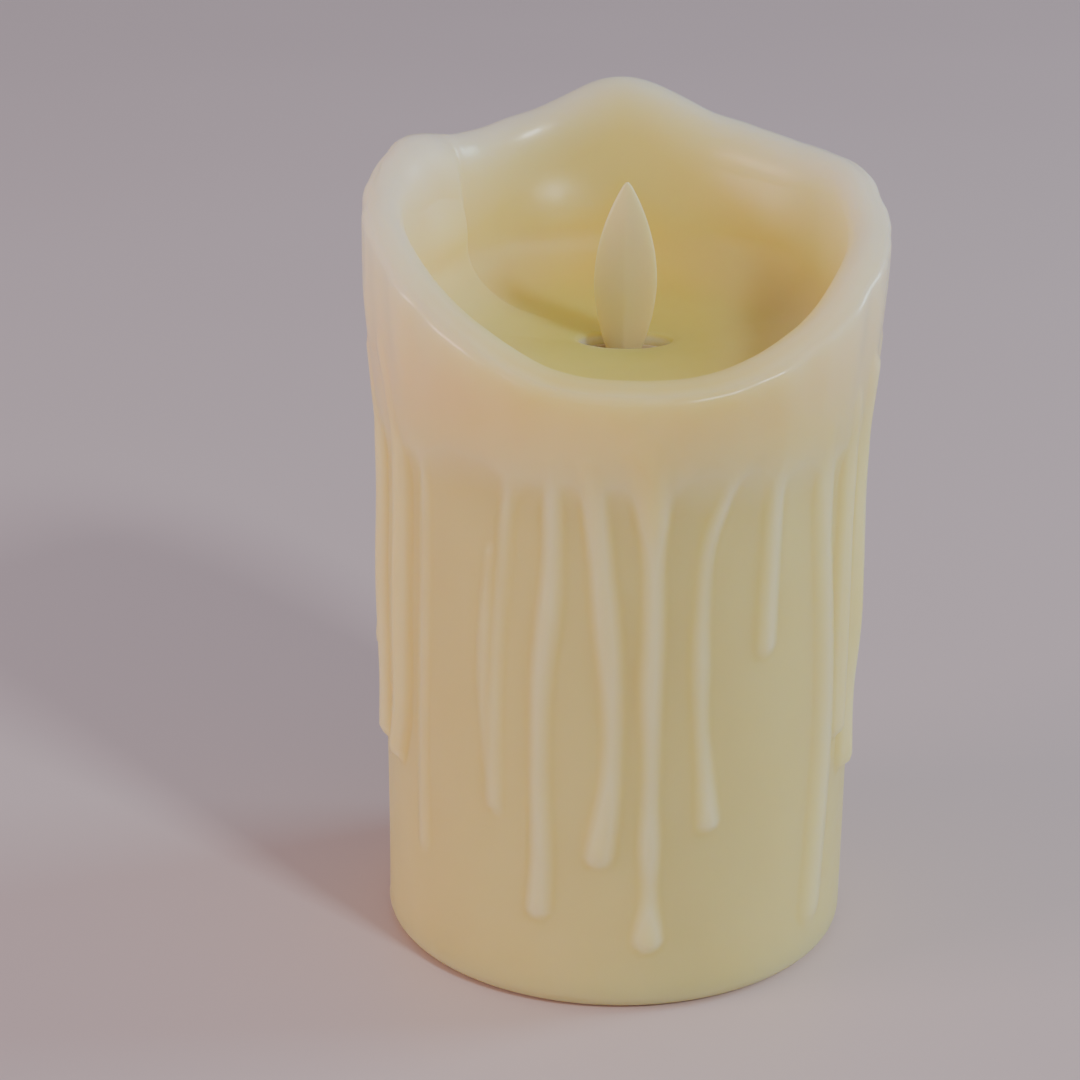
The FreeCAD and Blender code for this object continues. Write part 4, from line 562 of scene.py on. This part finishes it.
def make_wax_shell():
    bearings = np.arange(BEARINGS) * 360.0 / BEARINGS
    rim = closed_curve(RIM, bearings)
    rows = []

    def add_row(radius, height):
        rows.append((np.broadcast_to(radius, rim.shape), np.broadcast_to(height, rim.shape)))

    add_row(SEAT_RADIUS, SEAT_HEIGHT)
    add_row(SEAT_RADIUS, SHELL_BOTTOM)
    add_row((SEAT_RADIUS + SHELL_RADIUS - BOTTOM_ROUND) / 2, SHELL_BOTTOM)
    for angle in np.radians(np.linspace(0, 78, 7)):
        add_row(SHELL_RADIUS - SHELL_INSET - BOTTOM_ROUND * (1 - np.sin(angle)),
                SHELL_BOTTOM + BOTTOM_ROUND * (1 - np.cos(angle)))
    low = SHELL_BOTTOM + BOTTOM_ROUND
    back_share = (1 + np.sin(np.radians(bearings))) / 2
    slope = 2 * RIM_SLOPE * (1 - back_share)
    shoulder = rim - slope - RIM_OUTER_ROUND
    for share in np.linspace(0, 1, OUTER_ROWS):
        height = low + share * (shoulder - low)
        add_row(outer_radius(bearings, height), height)
    top_radius = outer_radius(bearings, shoulder)
    for angle in np.radians(np.linspace(10, 90, 9)):
        add_row(top_radius - RIM_OUTER_ROUND * (1 - np.cos(angle)),
                shoulder + RIM_OUTER_ROUND * np.sin(angle))
    crest_out = top_radius - RIM_OUTER_ROUND
    lobe = smooth_step(137, 143, bearings) * (1 - smooth_step(160, 182, bearings))
    roll_height = 1.5 + 6.0 * back_share ** 1.5 + 4.0 * lobe
    edge_height = rim - roll_height
    edge_radius = inner_radius(bearings, edge_height)
    roll_width = (crest_out - edge_radius) * np.minimum(0.45 + 0.45 * back_share + 0.3 * lobe, 0.96)
    crest_in = edge_radius + roll_width
    for share in np.linspace(0, 1, 5)[1:]:
        add_row(crest_out + share * (crest_in - crest_out), rim - slope * (1 - share) ** 1.5)
    for angle in np.radians(np.linspace(10, 90, 9)):
        add_row(edge_radius + roll_width * (1 - np.sin(angle)), edge_height + roll_height * np.cos(angle))
    wall_foot = POOL_FLOOR + POOL_RISE + POOL_CORNER_HEIGHT
    wall_foot_at = np.minimum(wall_foot, edge_height - 0.3)
    for share in np.linspace(0, 1, 27)[1:]:
        height = edge_height + share * (wall_foot_at - edge_height)
        add_row(inner_radius(bearings, height), height)
    foot_radius = inner_radius(bearings, wall_foot_at)
    floor_edge = foot_radius - POOL_CORNER
    edge_floor = POOL_FLOOR + POOL_RISE
    for angle in np.radians(np.linspace(9, 90, 10)):
        add_row(foot_radius - POOL_CORNER * (1 - np.cos(angle)),
                edge_floor + (wall_foot_at - edge_floor) * (1 - np.sin(angle)))
    turn = np.radians(bearings)
    slot = SLOT_HALF_LENGTH * SLOT_HALF_WIDTH / np.hypot(SLOT_HALF_WIDTH * np.cos(turn),
                                                         SLOT_HALF_LENGTH * np.sin(turn))
    slot_lip = slot + SLOT_ROUND
    for share in np.linspace(0, 1, 15)[1:]:
        radius = floor_edge + share * (slot_lip - floor_edge)
        sag = ((radius - slot_lip) / (floor_edge - slot_lip)) ** 2
        ripple = 0.12 * np.sin(radius * 0.5 + 2.0 * np.sin(turn * 2)) * sag * (1 - sag)
        add_row(radius, POOL_FLOOR + POOL_RISE * sag + ripple)
    for angle in np.radians(np.linspace(22.5, 90, 4)):
        add_row(slot + SLOT_ROUND * (1 - np.sin(angle)), POOL_FLOOR - SLOT_ROUND * (1 - np.cos(angle)))
    add_row(slot, FLOOR_UNDER)
    add_row((slot + BORE_RADIUS) / 2, FLOOR_UNDER)
    add_row(BORE_RADIUS, FLOOR_UNDER)
    for share in np.linspace(0, 1, 5)[1:]:
        add_row(BORE_RADIUS, FLOOR_UNDER + share * (SEAT_HEIGHT - FLOOR_UNDER))
    radii = np.array([row[0] for row in rows])
    heights = np.array([row[1] for row in rows])
    points = np.stack([radii * np.cos(turn), radii * np.sin(turn), heights], axis=-1) * MM
    count = len(rows)
    faces = []
    for row in range(count):
        here, above = row * BEARINGS, ((row + 1) % count) * BEARINGS
        for column in range(BEARINGS):
            right = (column + 1) % BEARINGS
            faces.append((here + column, here + right, above + right, above + column))
    return new_object("candle_wax", points.reshape(-1, 3), faces)


# ---------------------------------------------------------------- flame

# Height and half width of the blade, and height and half depth of the ridge on its faces.
FLAME_OUTLINE = [(91.0, 1.5), (94.0, 2.0), (96.6, 2.9), (99.2, 3.7), (102.2, 4.4), (106.4, 4.85),
                 (110.5, 4.6), (113.8, 3.95), (116.8, 3.05), (119.4, 2.0), (121.4, 1.0), (122.3, 0.42),
                 (122.55, 0.1)]
FLAME_RIDGE = [(91.0, 0.8), (96.6, 1.1), (106.0, 1.35), (115.8, 1.05), (120.5, 0.6), (122.3, 0.3),
               (122.55, 0.1)]
FLAME_EDGE_DEPTH = 0.3
STEM_BOTTOM = 65.4
STEM_HALF_WIDTH = 1.5
STEM_HALF_DEPTH = 0.8
EYE_HEIGHT = 84.0
EYE_GRIP = 1.2


def loft(rings):
    """Vertices and faces of a closed skin over rings of equal count, capped at both ends."""
    around = len(rings[0])
    faces = []
    for ring in range(len(rings) - 1):
        here, above = ring * around, (ring + 1) * around
        for number in range(around):
            following = (number + 1) % around
            faces.append((here + number, here + following, above + following, above + number))
    faces.append(tuple(reversed(range(around))))
    faces.append(tuple((len(rings) - 1) * around + number for number in range(around)))
    return [point for ring in rings for point in ring], faces


def turned_ring(profile, around, place_point):
    """Vertices and faces of a closed profile of radius and offset, turned about an axis."""
    vertices = []
    for radius, offset in profile:
        for number in range(around):
            angle = 2 * math.pi * number / around
            vertices.append(place_point(radius * math.cos(angle), radius * math.sin(angle), offset))
    faces = []
    for row in range(len(profile)):
        here, above = row * around, ((row + 1) % len(profile)) * around
        for number in range(around):
            following = (number + 1) % around
            faces.append((here + number, here + following, above + following, above + number))
    return vertices, faces


def blade_ring(height, half_width, half_depth, around):
    """A lens with a soft ridge along the middle of each face."""
    ring = []
    edge = min(FLAME_EDGE_DEPTH, half_depth)
    for number in range(around):
        angle = 2 * math.pi * number / around
        across = math.cos(angle)
        depth = (half_depth - edge) * (1 - abs(across) ** 1.2) + edge * math.sqrt(max(0.0, 1 - across ** 4))
        ring.append((across * half_width, math.copysign(depth, math.sin(angle)), height))
    return ring


def stem_ring(height, half_width, half_depth, around):
    """A bar of rounded section."""
    ring = []
    for number in range(around):
        angle = 2 * math.pi * number / around
        across, side = math.cos(angle), math.sin(angle)
        ring.append((math.copysign(abs(across) ** 0.35, across) * half_width,
                     math.copysign(abs(side) ** 0.35, side) * half_depth, height))
    return ring


def make_flame_piece():
    """Blade, flat stem, pivot eye and magnet cup; the stem stops short of the eye's bore."""
    around = 48
    outline = open_curve(FLAME_OUTLINE, 9)
    ridge = open_curve(FLAME_RIDGE, 9)
    def bar(*levels):
        return [stem_ring(height, STEM_HALF_WIDTH, STEM_HALF_DEPTH, around) for height in levels]

    rings = bar(EYE_HEIGHT + EYE_GRIP, 90.4)
    for height, half_width in outline:
        half_depth = float(np.interp(height, ridge[:, 0], ridge[:, 1]))
        rings.append(blade_ring(height, half_width, half_depth, around))
    shells = [loft(rings), loft(bar(STEM_BOTTOM, 74.0, EYE_HEIGHT - EYE_GRIP))]
    eye = [(0.4, -1.45), (0.45, -1.5), (1.6, -1.5), (1.7, -1.4), (1.7, 1.4), (1.6, 1.5), (0.45, 1.5),
           (0.4, 1.45)]
    shells.append(turned_ring(eye, 40, lambda x, z, offset: (x, offset, EYE_HEIGHT + z)))
    cup = [(0.02, 64.8), (3.45, 64.8), (3.6, 64.95), (3.6, 65.85), (3.45, 66.0), (0.02, 66.0)]
    shells.append(turned_ring(cup, 48, lambda x, y, offset: (x, y, offset)))
    vertices, faces = [], []
    for shell_vertices, shell_faces in shells:
        first = len(vertices)
        vertices += shell_vertices
        faces += [tuple(first + number for number in face) for face in shell_faces]
    return new_object("flame_moulding", np.array(vertices) * MM, faces)


wax = make_wax_shell()
wax.data.materials.append(make_wax())
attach(wax, "root")
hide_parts("wax_shell")

flame = make_flame_piece()
flame.data.materials.append(make_flame())
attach(flame, "flame")
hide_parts("flame_paddle")


# ---------------------------------------------------------------- materials on the CAD nodes

steel = metal("drawn_steel", (0.62, 0.62, 0.61))
zinc = metal("zinc_screw", (0.55, 0.56, 0.57), 0.32, (1.0, 1.0, 1.0), 1400.0)
nickel = metal("nickel_plate", (0.72, 0.70, 0.66), 0.24)
tinned = metal("tinned_case", (0.60, 0.60, 0.59), 0.38, (8.0, 1.0, 1.0), 500.0)
copper = metal("enamelled_copper", (0.70, 0.30, 0.13), 0.28)
tower = moulded("tower_plastic", (0.82, 0.78, 0.68), 0.5)
base_plastic = moulded("base_plastic", (0.82, 0.75, 0.58), 0.46, 0.00004, 2200.0, soft=0.25)
black_plastic = moulded("black_plastic", (0.03, 0.03, 0.032), 0.5, 0.00003, 1800.0)
chip_epoxy = moulded("chip_epoxy", (0.035, 0.034, 0.036), 0.6, 0.00002, 4000.0)
sleeve = moulded("capacitor_sleeve", (0.04, 0.05, 0.16), 0.3, 0.000008, 1500.0)
collar = moulded("collar_plastic", (0.80, 0.64, 0.42), 0.55, 0.00003, 3000.0, soft=0.4)
lens = moulded("led_lens", (0.90, 0.84, 0.62), 0.16, 0.000004, 900.0, soft=0.8)
board = make_circuit_board()
red_wire = insulation("red_insulation", (0.50, 0.03, 0.02))
black_wire = insulation("black_insulation", (0.02, 0.02, 0.02))

finishes = {
    "flame_collar": collar,
    "flame_magnet": nickel,
    "pivot_wire": steel,
    "led": lens,
    "led_leads": steel,
    "chassis_left": tower,
    "chassis_right": tower,
    "chassis_screws": zinc,
    "coil_bobbin": black_plastic,
    "coil_winding": make_winding(),
    "coil_leads": copper,
    "circuit_board": board,
    "control_chip": chip_epoxy,
    "capacitor": sleeve,
    "transistor": chip_epoxy,
    "resistors": chip_epoxy,
    "base_housing": base_plastic,
    "battery_door": base_plastic,
    "base_screws": zinc,
    "contact_positive": nickel,
    "contact_negative": nickel,
    "contact_bridge_left": nickel,
    "contact_bridge_right": nickel,
    "battery_spring_1": nickel,
    "battery_spring_2": nickel,
    "battery_spring_3": nickel,
    "switch_body": tinned,
    "switch_knob": black_plastic,
    "switch_pins": nickel,
    "switch_board": board,
    "switch_screws": zinc,
    "wire_battery_red": red_wire,
    "wire_switch_red": red_wire,
    "wire_battery_black": black_wire,
}
for number, flip in ((1, False), (2, True), (3, False)):
    node = f"battery_{number}"
    low_corner, high_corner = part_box(node)
    ends = (high_corner[0], low_corner[0]) if flip else (low_corner[0], high_corner[0])
    finishes[node] = make_cell_jacket(f"cell_jacket_{number}", *ends)

for node, material in finishes.items():
    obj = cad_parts[node]
    obj.data.materials.clear()
    obj.data.materials.append(material)


# ---------------------------------------------------------------- floor, camera and light

FLOOR_HALF_SIDE = 3.0
CAMERA_PLACE = (-0.0128, -0.4179, 0.2236)
CAMERA_LENS = 93.33
CAMERA_TILT_DOWN = 20.89
CAMERA_ROLL = 0.55
LIGHT_TARGET = (0.0, 0.0, 0.06)
WORLD_COLOUR = (0.90, 0.79, 0.85, 1.0)
WORLD_STRENGTH = 0.43


def make_stage():
    half = FLOOR_HALF_SIDE
    corners = [(-half, -half, 0), (half, -half, 0), (half, half, 0), (-half, half, 0)]
    floor = new_object("floor", corners, [(0, 1, 2, 3)], smooth=False)
    floor.data.materials.append(make_floor())


def make_camera():
    """Looks along +Y and down at the candle, which stands right of the middle and leans a touch in view."""
    data = bpy.data.cameras.new("camera")
    data.sensor_width = 36.0
    data.lens = CAMERA_LENS
    camera = bpy.data.objects.new("camera", data)
    scene.collection.objects.link(camera)
    camera.location = CAMERA_PLACE
    tilt = Matrix.Rotation(math.radians(90 - CAMERA_TILT_DOWN), 4, "X")
    turn = tilt @ Matrix.Rotation(math.radians(CAMERA_ROLL), 4, "Z")
    camera.rotation_euler = turn.to_euler()
    scene.camera = camera


def add_light(name, bearing, elevation, distance, size, power, colour):
    """A soft square light that faces the candle from a bearing and elevation, in degrees."""
    data = bpy.data.lights.new(name, "AREA")
    data.shape = "SQUARE"
    data.size = size
    data.energy = power
    data.color = colour
    lamp = bpy.data.objects.new(name, data)
    scene.collection.objects.link(lamp)
    across = math.cos(math.radians(elevation)) * distance
    offset = Vector((across * math.cos(math.radians(bearing)), across * math.sin(math.radians(bearing)),
                     math.sin(math.radians(elevation)) * distance))
    lamp.location = Vector(LIGHT_TARGET) + offset
    lamp.rotation_euler = offset.to_track_quat("Z", "Y").to_euler()


def make_lights():
    world = bpy.data.worlds.new("studio")
    world.use_nodes = True
    background = world.node_tree.nodes["Background"]
    background.inputs["Color"].default_value = WORLD_COLOUR
    background.inputs["Strength"].default_value = WORLD_STRENGTH
    scene.world = world
    add_light("key_light", -50, 36, 2.2, 0.32, 20.6, (1.0, 1.0, 0.95))
    add_light("back_light", 14, 28, 1.8, 0.60, 12.0, (0.68, 0.93, 1.0))
    add_light("warm_fill", 200, 10, 1.2, 0.50, 8.2, (1.0, 0.66, 0.55))


make_stage()
make_camera()
make_lights()
